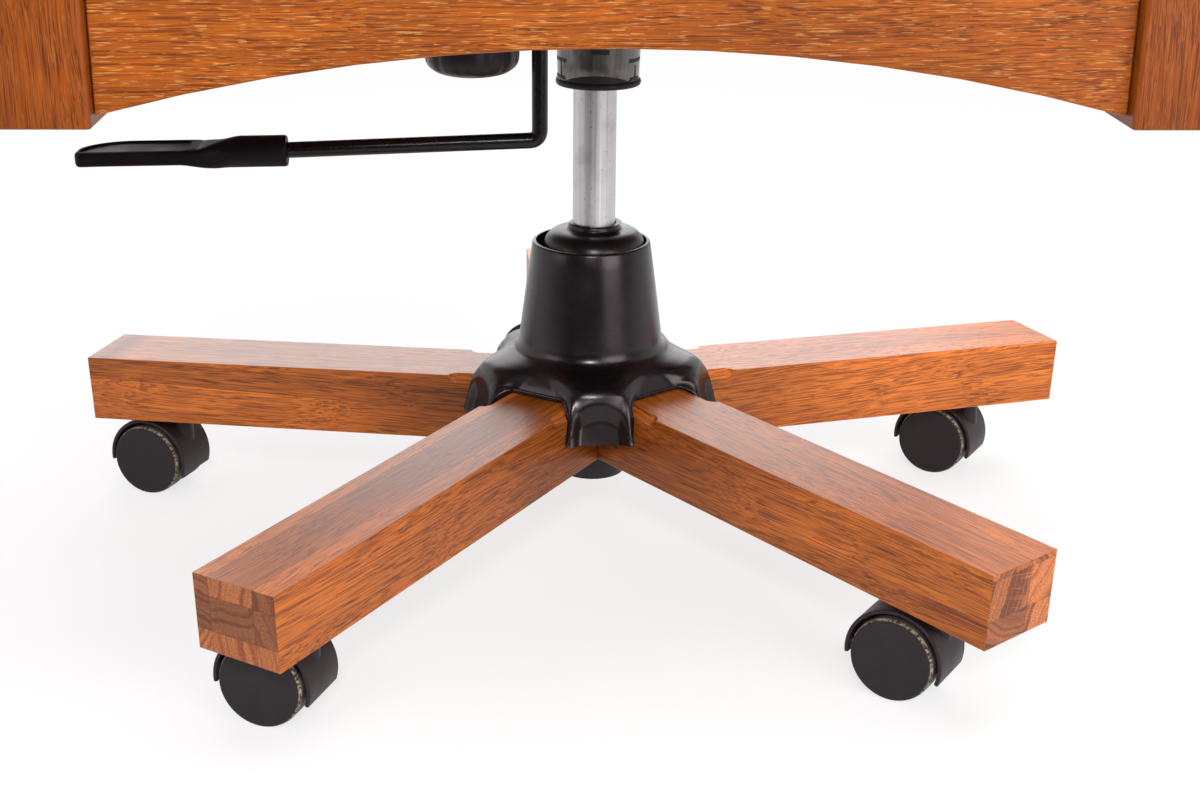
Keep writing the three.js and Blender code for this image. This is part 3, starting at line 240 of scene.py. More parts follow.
def sweep(points, radius, sides):
    """A tube along 3-D points with steady rings; the radius is one value or one a point."""
    pts = [Vector(p) for p in points]
    radii = np.broadcast_to(radius, len(pts))
    rings = []
    across = None
    for k, point in enumerate(pts):
        ahead = (pts[min(k + 1, len(pts) - 1)] - pts[max(k - 1, 0)]).normalized()
        if across is None:
            across = ahead.orthogonal().normalized()
        across = (across - ahead * across.dot(ahead)).normalized()
        up = ahead.cross(across)
        rings.append([point + float(radii[k]) * (cos(TURN * s / sides) * across
                                                 + sin(TURN * s / sides) * up)
                      for s in range(sides)])
    return skin(rings)


def rounded(piece, width, segments, limit):
    bevel = piece.modifiers.new("edges", "BEVEL")
    bevel.width = width * MM
    bevel.segments = segments
    bevel.limit_method = "ANGLE"
    bevel.angle_limit = radians(limit)
    bevel.harden_normals = True


def carve(piece, verts, faces):
    """Cuts a solid given in the piece's own millimetres out of it."""
    tool = linked("cutter", mesh_of("cutter", verts, faces))
    tool.matrix_world = piece.matrix_world
    cut = piece.modifiers.new("cut", "BOOLEAN")
    cut.operation = "DIFFERENCE"
    cut.solver = "EXACT"
    cut.object = tool
    settle(piece)
    bpy.data.objects.remove(tool)
    piece.data.shade_smooth()
    piece.data.set_sharp_from_angle(angle=radians(35))


def dressed(node, material, body, edge, place=None, segments=3, limit=30):
    """A copy of a node's solid with flat facets joined and rounded edges."""
    mesh = nodes[node].data.copy()
    mesh.name = node + "_form"
    work = bmesh.new()
    work.from_mesh(mesh)
    bmesh.ops.remove_doubles(work, verts=work.verts, dist=1e-5)
    bmesh.ops.dissolve_limit(work, angle_limit=radians(0.6), verts=work.verts,
                             edges=work.edges)
    if place is not None:
        bmesh.ops.transform(work, matrix=(TO_AXIS @ place).inverted(), verts=work.verts)
    work.to_mesh(mesh)
    work.free()
    piece = install(node + "_form", mesh, material, body, place, node)
    rounded(piece, edge, segments, limit)


# Materials
def operator(name, swapped=False):
    """A method that runs a Math node on a value and another one."""
    def run(self, other=0):
        return self.tree.math(name, *((other, self) if swapped else (self, other)))
    return run


class Value:
    """A node's output that is added, multiplied and compared like a number."""
    __add__ = operator("ADD")
    __sub__ = operator("SUBTRACT")
    __rsub__ = operator("SUBTRACT", swapped=True)
    __mul__ = operator("MULTIPLY")
    __pow__ = operator("POWER")
    __gt__ = operator("GREATER_THAN")
    __abs__ = operator("ABSOLUTE")

    def __init__(self, tree, socket):
        self.tree, self.socket = tree, socket

    def range(self, low, high, start=0, end=1):
        """From start to end, softly, as the value goes from low to high."""
        return self.tree.add("MapRange", (self, low, high, start, end),
                             interpolation_type="SMOOTHSTEP")

    def noise(self, scale, detail, roughness=0.55, distortion=0):
        """Noise at this place, with one scale or one an axis."""
        place = self
        if not isinstance(scale, (int, float)):
            place, scale = self.tree.vector("MULTIPLY", self, scale), 1
        return self.tree.add("TexNoise", {
            "Vector": place, "Scale": scale, "Detail": detail, "Roughness": roughness,
            "Distortion": distortion})

    def output(self, name):
        """Another output of the same node."""
        return Value(self.tree, self.socket.node.outputs[name])

    def split(self):
        parts = self.tree.add("SeparateXYZ", [self])
        return [parts.output(axis) for axis in "XYZ"]

    def length(self):
        return self.tree.vector("LENGTH", self).output("Value")


class Tree:
    """A material's or world's node tree, in which short calls add nodes and link them."""

    def __init__(self, owner, kind):
        owner.use_nodes = True
        self.owner, self.nodes, self.links = owner, owner.node_tree.nodes, owner.node_tree.links
        self.nodes.clear()
        self.surface = self.nodes.new("ShaderNodeOutput" + kind).inputs["Surface"]

    def add(self, kind, inputs=(), **settings):
        """A node with its settings, and its inputs by place or name; gives its first output."""
        node = self.nodes.new("ShaderNode" + kind)
        for key, value in settings.items():
            setattr(node, key, value)
        for key, value in inputs.items() if isinstance(inputs, dict) else enumerate(inputs):
            self.feed(node.inputs[key], value)
        return Value(self, node.outputs[0])

    def feed(self, socket, value):
        if isinstance(value, Value):
            self.links.new(value.socket, socket)
        elif socket.type == "RGBA" and len(value) == 3:
            socket.default_value = (*value, 1)
        else:
            socket.default_value = value

    def math(self, operation, a, b=0):
        return self.add("Math", (a, b), operation=operation)

    def vector(self, operation, *inputs):
        return self.add("VectorMath", inputs, operation=operation)

    def combine(self, x, y, z):
        return self.add("CombineXYZ", (x, y, z))

    def ramp(self, share, *stops):
        colour = self.add("ValToRGB", [share])
        points = colour.socket.node.color_ramp.elements
        while len(points) < len(stops):
            points.new(0.5)
        for point, (place, shade) in zip(points, stops):
            point.position = place
            point.color = (*shade, 1)
        return colour

    def mix(self, share, a, b, blend="MIX"):
        return self.add("Mix", {0: share, 6: a, 7: b}, data_type="RGBA",
                        blend_type=blend).output(2)

    def shaded(self, colour, shade):
        return self.mix(1, colour, self.combine(shade, shade, shade), "MULTIPLY")


class Paint(Tree):
    """A material on one shader, with places and normals in a piece's own frame."""

    def __init__(self, name, **sockets):
        super().__init__(bpy.data.materials.new(name), "Material")
        shader = self.add("BsdfPrincipled")
        self.feed(self.surface, shader)
        self.sockets = shader.socket.node.inputs
        self.set(**sockets)
        self.place = self.add("TexCoord").output("Object")
        self.facing = self.place.output("Normal")

    def set(self, **sockets):
        for key, value in sockets.items():
            self.feed(self.sockets[key.replace("_", " ").title().replace("Ior", "IOR")], value)

    def complete(self, colour, roughness, relief, depth, strength):
        """Sets what varies over the surface, with the relief's depth in millimetres."""
        self.set(base_color=colour, roughness=roughness, normal=self.add("Bump", {
            "Height": relief, "Distance": depth * MM, "Strength": strength}))
        return self.owner


def scaled(colour, factor, lift=0):
    return [c * factor + lift for c in colour]


def oak(name, light, dark, pore, grain="X", columns=(), layers=(), seed=0, slant=0,
        lean=0, fleck=0, line=0.8, coat=0.05, flank_coat=None, shine=0.2, inner=1,
        end_tone=0.6):
    """Oak along an axis. Columns and layers are glued joints, each a place in millimetres and
    the tone beyond it; the grain has long dark lines, short open pores, pale filled pores and
    growth rings on cut ends."""
    paint = Paint(name, coat_weight=coat, coat_roughness=0.3, specular_ior_level=shine)
    place = paint.place
    if lean:
        place = paint.add("VectorRotate", {0: place, 3: lean}, rotation_type="X_AXIS")
    order = {"X": (0, 1, 2), "Y": (1, 0, 2), "Z": (2, 0, 1)}[grain]
    x, y, z = (place.split()[n] for n in order)
    along, aside, upward = (abs(paint.facing.split()[n]) for n in order)
    chance = paint.add("ObjectInfo").output("Random")
    cell = chance * 7
    shade = chance.range(0, 1, 0.95, 1.05)
    glue = 0
    for value, joints in ((y, columns), (z, layers)):
        for mark, change in joints:
            past = value > mark * MM
            cell = cell * 1.7 + past
            shade = shade + past * change
            gap = abs(value - mark * MM)
            glue = paint.math("MAXIMUM", glue, gap.range(0, 0.0006, 0.5, 0))
    odd = paint.add("TexWhiteNoise", {"W": cell + seed}, noise_dimensions="1D").output("Color")
    luck = odd.output("Value")
    own = paint.add("VectorMath", {0: odd, "Scale": 3}, operation="SCALE")
    leaned = x * ((luck - 0.5) * 0.03 + slant)
    strip = paint.vector("ADD", paint.combine(x, y + leaned, z + leaned), own)
    sway = strip.noise((4, 9, 9), 2)
    bent = paint.vector("ADD", strip, paint.combine(0, sway * 0.03, sway * 0.022))
    fibres = bent.noise((9, 1000, 1000), 3, 0.7)
    rings = bent.noise((2.6, 150, 150), 2, 0.6)
    early = paint.math("FRACT", rings * 9).range(0.5, 0.98)
    tone = bent.noise((1.6, 70, 70), 2, 0.5) * 0.3 + fibres * 0.7
    middle = [0.45 * a + 0.55 * b for a, b in zip(light, dark)]
    colour = paint.ramp(tone, (0.32, dark), (0.45, middle), (0.62, light))
    colour = paint.mix(early * (0.15 * line), colour, dark)

    # Long thin lines and shorter open pores, more of them in the early wood
    near = abs(bent.noise((6, 440, 440), 2, 0.5) - 0.5)
    broken = bent.noise((22, 560, 560), 1, 0.5).range(0.4, 0.5)
    strokes = near.range(0.014, 0.034, 1, 0) * broken
    dashes = bent.noise((30, 1450, 1450), 1, 0.5).range(0.55, 0.6)
    crowd = early.range(0, 1, 0.7, 1)
    pores = paint.math("MAXIMUM", strokes, dashes) * crowd * line
    colour = paint.mix(pores, colour, pore)
    if fleck:
        chips = strip.noise((120, 1700, 1700), 1, 0.4).range(0.62, 0.68)
        colour = paint.mix(chips * fleck, colour, (0.5, 0.25, 0.07))
    shade = shade * strip.noise(7, 3).range(0.3, 0.7, 0.9, 1.1)
    flank = upward.range(0.3, 0.8, 1, 0)
    if flank_coat is not None:
        paint.set(coat_weight=flank.range(0, 1, coat, flank_coat))
    # Painted light and shade on the arms: the tops are painted a quarter lighter, and the sides
    # are painted darker towards the hub, where the cover and seat shade them
    if inner < 1:
        painted_hub_shade = flank * x.range(0.08, 0.2, 1 - inner, 0)
        shade = shade * flank.range(0, 1, 1.25, 1) * (1 - painted_hub_shade)
    colour = paint.shaded(colour, shade)

    # End grain: bent growth rings with pores along them, pale rays across, blocks apart
    centre = paint.vector("MULTIPLY_ADD", odd, (0, 0.24, 0.2), (0, -0.12, -0.02))
    across = paint.combine(0, y, z)
    reach = paint.vector("SUBTRACT", across, centre)
    span = reach.length()
    depth = (span + across.noise(60, 3) * 0.009) * 210
    years = paint.math("SINE", depth * 8)
    bands = paint.combine(depth, 0, cell).noise(1, 2, 0.6) + years * 0.05
    _, sideways, upward_reach = reach.split()
    angle = paint.math("ARCTAN2", upward_reach, sideways)
    rays = paint.combine(angle * 170, span * 30, 0).noise(1, 1).range(0.62, 0.7)
    holes = across.noise(1100, 1).range(0.5, 0.62) * bands.range(0.42, 0.6, 0.15, 0.75)
    pale = scaled(light, end_tone, 0.02)
    cut = paint.ramp(bands, (0.4, scaled(dark, 0.75)), (0.58, pale))
    cut = paint.mix(holes, cut, scaled(dark, 0.55))
    cut = paint.mix(rays * 0.45, cut, scaled(pale, 1.6))
    cut = paint.shaded(cut, luck.range(0, 1, 0.65, 1.4))
    colour = paint.mix(along.range(0.62, 0.8), colour, cut)
    colour = paint.mix(glue, colour, pore)
    # Painted highlight: a saturated orange line along the top edges beyond the hub, where the
    # edges catch the light
    painted_edge_highlight = (aside * upward).range(0.2, 0.4) * x.range(0.094, 0.1)
    colour = paint.mix(painted_edge_highlight * 0.7, colour, [c * k for c, k in zip(light, (0.8, 0.7, 0.4))])
    return paint.complete(colour, fibres.range(0.3, 0.7, 0.3, 0.46), fibres * 0.3 - pores,
                        0.12, 0.45)


def plastic(name, colour, roughness, shine, grain=0.06, scuffs=0.15):
    """A black moulding with a fine texture, faint scuffs and settled dust."""
    paint = Paint(name, specular_ior_level=shine, specular_tint=(1, 0.84, 0.88))
    place = paint.place
    fine, wide = place.noise(1400, 2), place.noise(28, 3)
    marks = place.noise((60, 700, 260), 2).range(0.66, 0.72) * scuffs
    dust = wide.range(0.5, 0.75) * (scuffs * 0.35)
    pale = scaled(colour, 2.5, 0.03)
    base = paint.ramp(fine, (0.3, scaled(colour, 0.8)), (0.7, scaled(colour, 1.25)))
    base = paint.mix(dust, paint.mix(marks, base, pale), pale)
    rough = wide.range(0.3, 0.7, roughness * 0.85, roughness * 1.15)
    return paint.complete(base, rough, fine, grain, 0.6)


def steel(name, colour, roughness, streak, pits=0.3, grime=0.2, dirt=(0.05, 0.045, 0.04)):
    """Bare steel with drawn streaks, pits and grime."""
    paint = Paint(name, metallic=1)
    place = paint.place
    drawn, broad = place.noise(streak, 3, 0.6), place.noise(scaled(streak, 0.12), 2)
    spots = place.noise(620, 2).range(0.68, 0.74) * pits
    cloud = place.noise(60, 4).range(0.5, 0.75) * grime
    base = paint.ramp(drawn * 0.5 + broad * 0.5, (0.35, scaled(colour, 0.72)),
                      (0.65, [min(c, 1) for c in scaled(colour, 1.18)]))
    base = paint.mix(paint.math("MAXIMUM", spots, cloud), base, dirt)
    rough = broad.range(0.3, 0.7, roughness * 0.8, roughness * 1.25)
    return paint.complete(base, rough, drawn - spots, 0.03, 0.5)


def painted(name, colour, roughness, chips=0.12):
    """Black paint on metal with a soft orange peel and small bare chips."""
    paint = Paint(name, specular_ior_level=0.3)
    peel = paint.place.noise(420, 2)
    worn = paint.place.noise(240, 3).range(0.7, 0.76) * chips
    base = paint.ramp(peel, (0.3, scaled(colour, 0.8)), (0.7, scaled(colour, 1.3)))
    rough = peel.range(0.3, 0.7, roughness * 0.85, roughness * 1.15)
    return paint.complete(paint.mix(worn, base, (0.3, 0.29, 0.28)), rough, peel, 0.05, 0.5)


def tread(name):
    """A caster wheel drawn about its axle on Z: a dull face, and a tread worn to tan."""
    paint = Paint(name, specular_ior_level=0.2)
    x, y, z = paint.place.split()
    radius = paint.math("SQRT", x ** 2 + y ** 2)
    fine = paint.place.noise(1700, 2)
    cloud = paint.place.noise(70, 4)
    speckle = paint.place.noise(520, 4).range(0.42, 0.6)
    edge = radius.range(0.0243, 0.0249) * z.range(0.0128, 0.0142) * speckle
    road = radius.range(0.0248, 0.0253) * cloud.range(0.35, 0.7, 0.15, 0.6)
    base = paint.ramp(fine * 0.6 + cloud * 0.4, (0.3, (0.0125, 0.009, 0.0102)),
                      (0.7, (0.0235, 0.018, 0.02)))
    base = paint.mix(road, base, (0.11, 0.095, 0.08))
    base = paint.mix(edge * 0.85, base, (0.36, 0.29, 0.2))
    return paint.complete(base, cloud.range(0.3, 0.7, 0.52, 0.66), fine, 0.07, 0.7)


def hide(name, colour):
    """Leather: pebbled grain, fine creases, darker in the creases, worn lighter on top."""
    paint = Paint(name, coat_weight=0.15, coat_roughness=0.35, sheen_weight=0.1)
    pebble, small = (paint.add("TexVoronoi", {"Vector": paint.place, "Scale": scale},
                               feature="DISTANCE_TO_EDGE") for scale in (620, 1400))
    crease = paint.place.noise((36, 60, 60), 4, 0.65, 0.8)
    lines = abs(crease - 0.5).range(0, 0.03)
    cells = pebble.range(0, 0.35)
    grit = small.range(0, 0.3)
    wear = paint.place.noise(7, 3).range(0.4, 0.7)
    base = paint.ramp(wear, (0, scaled(colour, 0.75)), (1, scaled(colour, 1.5)))
    base = paint.mix(1 - cells, base, scaled(colour, 0.45))
    base = paint.mix((1 - lines) * 0.4, base, scaled(colour, 0.4))
    height = cells * 0.6 + (grit * 0.2 + lines * 0.35)
    return paint.complete(base, wear.range(0, 1, 0.55, 0.38), height, 0.25, 0.6)


ARM_OAK = ((0.52, 0.142, 0.018), (0.24, 0.05, 0.006), (0.065, 0.013, 0.003))
FRAME_OAK = ((0.315, 0.074, 0.002), (0.165, 0.034, 0.0015), (0.06, 0.012, 0.002))
POST_OAK = ((0.25, 0.056, 0.002), (0.135, 0.026, 0.0015), (0.055, 0.011, 0.002))

# Each arm's upright and level joints, seed, slant of the grain, tone, and tone of its end
ARM_LOOKS = (
    (((-40, 0.08), (6, 0.06)), ((76, 0.12), (101, 0.08)), 3, 0.01, 0.8, 1.05),
    (((-8, -0.04), (12, 0.06)), ((86, 0.06), (103, 0.14)), 5, -0.01, 1.26, 0.6),
    (((-9, 0.1), (10, -0.1)), ((95, 0.1),), 7, 0, 1, 0.6),
    (((-12, -0.1), (9, 0.1)), ((60, 0.14), (90, -0.26), (105, 0.14)), 11, 0.01, 0.92, 0.6),
    (((-17.7, -0.32), (13, 0.38)), ((72, -0.03), (93, 0.12)), 2, 0.015, 0.9, 0.62))
# inner=0.62 paints the arms' sides darker towards the hub and their tops lighter: painted shade
# and painted light
arm_oaks = [oak(f"oak_arm_{i + 1}", *(scaled(shade, tone) for shade in ARM_OAK), "X", columns,
                layers, seed, slant, end_tone=end_tone, coat=0.58, shine=0.18, inner=0.62,
                flank_coat=0.2)
            for i, (columns, layers, seed, slant, tone, end_tone) in enumerate(ARM_LOOKS)]
oak_rail = {axis: oak(f"oak_rail_{axis.lower()}", *FRAME_OAK, grain=axis, fleck=0.5)
            for axis in "XY"}
oak_post, oak_back = (
    oak(name, *POST_OAK, grain="Z", lean=radians(lean), fleck=0.12, line=0.75)
    for name, lean in (("oak_post", 0), ("oak_back", 10)))
plywood = oak("plywood", (0.16, 0.085, 0.045), (0.1, 0.05, 0.026), (0.05, 0.024, 0.012),
              layers=tuple((438.6 + 1.5 * k, 0.2 * (-1) ** k) for k in range(1, 8)),
              line=0.4, coat=0)
cover_black = plastic("cover_black", (0.0036, 0.0026, 0.003), 0.27, shine=0.42, grain=0.02)
cap_black = plastic("cap_black", (0.0035, 0.0026, 0.003), 0.3, shine=0.34, grain=0.01,
                    scuffs=0.08)
hood_black = plastic("hood_black", (0.0165, 0.0118, 0.013), 0.46, shine=0.25, grain=0.05)
knob_black = plastic("knob_black", (0.008, 0.0058, 0.0066), 0.36, shine=0.3, grain=0.03)
handle_black = plastic("handle_black", (0.004, 0.0026, 0.003), 0.5, shine=0.12, grain=0.04)
bush_black = plastic("bush_black", (0.01, 0.0085, 0.009), 0.5, shine=0.25)
wheel_black = tread("wheel_black")
column_black = painted("column_black", (0.009, 0.0078, 0.0082), 0.42)
lever_black = painted("lever_black", (0.0045, 0.003, 0.0033), 0.24, chips=0.02)
plate_black = painted("plate_black", (0.012, 0.011, 0.0115), 0.45)
cylinder_steel = steel("cylinder_steel", (0.62, 0.61, 0.62), 0.46, streak=(620, 620, 9),
                       pits=0.75)
bright_steel = steel("bright_steel", (0.62, 0.62, 0.63), 0.24, streak=(300, 300, 900), pits=0.1,
                     grime=0.05)
spring_steel = steel("spring_steel", (0.2, 0.2, 0.215), 0.35, streak=(500, 500, 500))
socket_steel = steel("socket_steel", (0.3, 0.29, 0.28), 0.4, streak=(400, 400, 60))
housing_steel = steel("housing_steel", (0.15, 0.138, 0.132), 0.24, streak=(420, 420, 16),
                      pits=0.4, grime=0.55, dirt=(0.02, 0.017, 0.016))
leather = hide("leather", (0.075, 0.034, 0.019))
thread = plastic("thread", (0.16, 0.09, 0.05), 0.7, shine=0.2, grain=0.1, scuffs=0)


# Casters
def wheel_profile():
    face = WHEEL_WIDTH
    return [(0, face - 0.25), (21.6, face - 0.25), (22.2, face - 0.1), (22.8, face),
            (23.6, face - 0.05), (24.2, face - 0.3), (24.7, face - 0.8), (25, face - 1.5),
            (25.25, face - 2.3), (25.45, face - 3.2), (WHEEL_RADIUS, face - 4.4),
            (WHEEL_RADIUS, 1.6), (25.1, 0.7), (24.2, 0.25), (22.5, 0.1), (21.5, 1.6), (9, 1.6),
            (8.2, 0.3), (3.3, 0.3), (3.3, 11.3), (0, 11.3)]


def hood_part():
    """The hood's shell, which is open below, and the web between the wheels."""
    start, end = radians(-19), radians(187)

    def arc(radius, first, last, count=73):
        return [polar(radius, turn) for turn in np.linspace(first, last, count)]

    shell = slab(arc(HOOD_OUTER, start, end) + arc(HOOD_INNER, end, start), -HOOD_HALF,
                 HOOD_HALF)
    web = slab(arc(HOOD_INNER + 0.6, start, end) + arc(8, end, start + TURN, 24), -4.3, 4.3)
    return shell, web


def boss_part():
    """The stem's boss, which flares into the hood's shell."""
    inside = HOOD_OUTER - 1

    def lowest(x):
        shell = sqrt(max(inside ** 2 - min(x + TRAIL, inside) ** 2, 0))
        return min(WHEEL_RADIUS + shell, BOSS_TOP - 3)

    rings = []
    for height, radius in ((BOSS_TOP, 6.9), (BOSS_TOP - 0.6, 7.4), (BOSS_TOP - 3, 7.5),
                           (52, 7.5), (48, 7.7), (44, 8), (40, 8.1), (36, 8)):
        ring = [polar(radius, TURN * k / 40) for k in range(40)]
        rings.append([(x, y, max(height, lowest(x))) for x, y in ring])
    return skin(rings)


def add_casters():
    wheel = mesh_of("wheel_turned", *lathe(wheel_profile(), 120))
    shell, web = hood_part()
    boss = boss_part()
    verts, faces = lathe([(0, -16), (3, -16), (3, 16), (0, 16)], 32)
    axle = [(x, -z, y) for x, y, z in verts], faces
    for i, heading in enumerate(HEADINGS):
        n = i + 1
        swivel = f"caster_{n}"
        place = at(*polar(STEM_REACH, arm_angle(i)), heading=radians(heading))
        low = place @ at(-TRAIL, 0, WHEEL_RADIUS)
        hood = make(f"hood_{n}", *merged(shell, web, axle), hood_black, swivel, low,
                    f"caster_hood_{n}")
        rounded(hood, 0.9, 3, 50)
        make(f"hood_boss_{n}", *boss, hood_black, swivel, place, slot="caster_hood")
        for side, sign in (("left", 1), ("right", -1)):
            node = f"caster_wheel_{n}_{side}"
            seat = low @ at(0, sign * WHEEL_START) @ Matrix.Rotation(-sign * pi / 2, 4, "X")
            install(f"wheel_{n}_{side}", wheel, wheel_black, node, seat, node, 50)


# Hub: each profile of the cover runs from the rim down to the edge, and is set by the angle
# in degrees from a lobe's middle; half a sector further on is the middle of an arm
COVER_FILLET = ((0.35, -2.9), (1, -4.8), (1.9, -6.5))
COVER_RIDGE = ((0.085, 0.717), (0.15, 0.68), (0.377, 0.595), (0.6, 0.5), (0.678, 0.43),
               (0.725, 0.339), (0.756, 0.231))
COVER_VALLEY = ((0.18, 0.722), (0.29, 0.667), (0.49, 0.57), (0.675, 0.462), (0.791, 0.37),
                (0.888, 0.275), (0.957, 0.185))
COVER_FADES = ((0, 36), (0, 36), (0, 36), (2, 33), (5, 29), (8, 26), (12, 23.5))
COVER_RIM, COVER_BELL, COVER_RIB, COVER_REACH = 39, 47.5, 86, 66.2
COVER_FOOT, COVER_DROP, COVER_RISE = 28.6, 21.8, 2.5
COVER_SHIFT = -1.6
PANEL_DEPTH, PANEL_HALF, PANEL_TOP = 5.5, 12.8, 6.4
COVER_STEPS = (2, 3, 3, 3, 3, 3, 3, 3, 3, 5, 5, 4, 4, 5, 23)
LOBE_SIDE, LOBE_LEAN, LOBE_CORNER, LOBE_ROUND, SHOULDER_END, SHOULDER = (
    14.5, 0.2, 12.8, 2.3, 20, 8)


def straight(reach, offset):
    """How far out a line square to the arm lies at an angle from the lobe's middle."""
    return reach / cos(radians(SECTOR / 2 - offset))


def cover_stations():
    """Angles over half a sector, each with the height of the edge and its distance out."""
    top, low = ARM_TOP + COVER_RISE, ARM_TOP - COVER_DROP
    face = COVER_BELL + (COVER_RIB - COVER_BELL) * COVER_RIDGE[-1][0]
    crest = ARM_TOP + COVER_FOOT * COVER_RIDGE[-1][1]

    def face_reach(height):
        return face + (COVER_RIB - face) * (crest - height) / (crest - low)

    stations = [(offset, low, COVER_RIB) for offset in np.linspace(0, LOBE_CORNER, 21)]
    side, straight_foot = LOBE_SIDE - LOBE_LEAN, low + LOBE_ROUND
    rows = [(LOBE_CORNER + (side - LOBE_CORNER) * sin(turn),
             low + LOBE_ROUND * (1 - cos(turn))) for turn in np.linspace(0, TURN / 4, 7)[1:]]
    rows += [(side + LOBE_LEAN * share, straight_foot + (top - SHOULDER - straight_foot) * share)
             for share in np.linspace(0, 1, 10)[1:]]
    stations += [(offset, height, face_reach(height)) for offset, height in rows]
    reach = face_reach(top - SHOULDER)
    for share in np.linspace(0, 1, 12)[1:]:
        offset = SHOULDER_END - (SHOULDER_END - LOBE_SIDE) * cos(TURN / 4 * share)
        stations.append((offset, top - SHOULDER * (1 - sin(TURN / 4 * share)),
                         reach + (straight(COVER_REACH, offset) - reach) * smooth(share)))
    stations += [(offset, top, straight(COVER_REACH, offset))
                 for offset in np.linspace(SHOULDER_END, SECTOR / 2, 10)[1:]]
    return stations


def cover_profile(offset, edge_height, edge_reach):
    foot = ARM_TOP + COVER_FOOT
    wide = COVER_BELL - COVER_RIM
    profile = [(COVER_RIM + share * wide, RIM + share * (foot - RIM) - lower)
               for share, lower in ((0, 1.5), (0.3, 0), (0.6, 0), (0.8, 0), (0.97, 0))]
    profile += [(COVER_BELL + out, foot + up) for out, up in COVER_FILLET]
    for ridge, valley, (start, end) in zip(COVER_RIDGE, COVER_VALLEY, COVER_FADES):
        lobe = smooth((end - offset) / (end - start))
        flat = COVER_BELL + (COVER_REACH - COVER_BELL) * valley[0]
        over_arm = flat * (1 + (straight(1, offset) - 1) * valley[0])
        reach = COVER_BELL + (COVER_RIB - COVER_BELL) * ridge[0]
        profile.append((over_arm + (reach - over_arm) * lobe,
                        ARM_TOP + COVER_FOOT * (valley[1] + (ridge[1] - valley[1]) * lobe)))
    profile.append((edge_reach, edge_height))
    return profile


def whole_sector(half, sector):
    """The rows of half a sector, each with its angle first, and then their mirror images."""
    middle = SECTOR * (sector + 0.5)
    rows = [(middle + offset, *rest) for offset, *rest in half]
    return rows + [(middle + SECTOR - offset, *rest) for offset, *rest in half[-2::-1]]


def add_cover():
    half = [(station[0], catmull(cover_profile(*station), COVER_STEPS))
            for station in cover_stations()]
    for offset, line in half:
        top = ARM_TOP + PANEL_TOP - 9 * (offset / PANEL_HALF) ** 2.2
        across = rise(PANEL_HALF + 0.6 - offset, 0, 5)
        for point in line:
            point[0] -= (PANEL_DEPTH * (1 - 0.3 * (offset / PANEL_HALF) ** 2) * across
                         * rise(top - point[1], 0, 15))
    lip = [(COVER_RIM - 2.4, RIM), (COVER_RIM - 1.2, RIM - 0.1), (COVER_RIM - 0.4, RIM - 0.6)]
    columns = [[around(reach, height, angle) for reach, height in [*lip, *line]]
               for sector in range(5) for angle, line in whole_sector(half, sector)[:-1]]
    place = at(COVER_SHIFT, heading=radians(ARM_TURN) + TURN / 20)
    cover = make("cover_moulded", *skin(columns, closed=False, looped=True), cover_black, "base",
                 place, "hub_cover", 60)
    wall = cover.modifiers.new("wall", "SOLIDIFY")
    wall.thickness = 2.4 * MM
    wall.offset = -1
    rounded(cover, 0.6, 3, 55)

    # The rolled edge: thin over each arm, thicker down the sides of the lobes
    edge = []
    for offset, height, reach in cover_stations():
        if offset < LOBE_CORNER + 0.6:
            continue
        side = 1 - rise(height, ARM_TOP - 9, ARM_TOP + COVER_RISE)
        start = rise(height, ARM_TOP - COVER_DROP + 0.3, ARM_TOP - COVER_DROP + 7)
        radius = 1.35 + (1.25 * start - 0.5 * (1 - start)) * side
        aside = degrees((radius - 1.1) * side / reach)
        lift = (radius - 0.3) * (1 - side)
        edge.append((offset - aside, height + lift, reach - radius * 0.75, radius))
    tubes = []
    for sector in range(5):
        rows = whole_sector(edge, sector)
        path = [around(reach, height, angle) for angle, height, reach, _ in rows]
        tubes.append(sweep(path, [row[3] for row in rows], 16))
    make("cover_bead", *merged(*tubes), cover_black, "base", place, slot="cover_plastic")


def turned(name, profile, material, body, place=at(), steps=120, **more):
    make(name, *lathe(profile, steps), material, body, place, **more)


def add_lift():
    cap = [(14.6, 221), (15.6, 221.1), (16.6, 220.4), (17, 219.3), (17.3, 218), (18.6, 217),
           (21, 216.6), (24, 216.3), (27, 215.4), (29.6, 213.6), (31.8, 211), (33.2, 207.8),
           (33.7, 204.6), (33.7, 203.2), (32.8, 202.9), (31.8, 204.5)]
    turned("cap_moulded", catmull(cap, 4), cap_black, "base", at(0.3),
           stands_for="dust_cap", sharp=60)
    tube = [(11, CYLINDER_FOOT), (13.4, CYLINDER_FOOT), (14, CYLINDER_FOOT + 0.7), (14, 330.7),
            (13.3, CYLINDER_TOP - 0.6), (12.6, CYLINDER_TOP), (3.3, CYLINDER_TOP),
            (3.3, CYLINDER_TOP - 10)]
    turned("cylinder_turned", tube, cylinder_steel, "lift", stands_for="gas_cylinder")
    column = [(20, 47), (21.9, 47), (22.5, 47.8), (25, 111), (25, 203), (22.5, 203),
              (22.5, 190)]
    turned("column_turned", column, column_black, "base", stands_for="lift_column")
    base = [(0, 51.2), (6, 51.2), (6.5, 51.7), (19, 52.2), (20, 53.5), (20.2, 58)]
    turned("column_floor_pressed", base, column_black, "base", steps=96, slot="column_paint")
    turned("cap_lip", [(14.5, 221.05), (16.2, 221.25), (16.8, 221)], cap_black, "base",
           at(1.6), 96, slot="cap_plastic")


def patch(start, end, low, high, sag=0):
    """A thin curved plate on the collar, between two angles and two heights."""
    rings = []
    for angle in np.linspace(start, end, 25):
        share = (2 * angle - start - end) / (end - start)
        edge = max(high - sag * share ** 2, low + 0.05)
        corners = ((low, -0.6), (low, 0.22), (edge, 0.22), (edge, -0.6))
        rings.append([around(26.3 + 1.1 * rise(height, 326, 349) + reach, height, angle)
                      for height, reach in corners])
    return skin(rings)


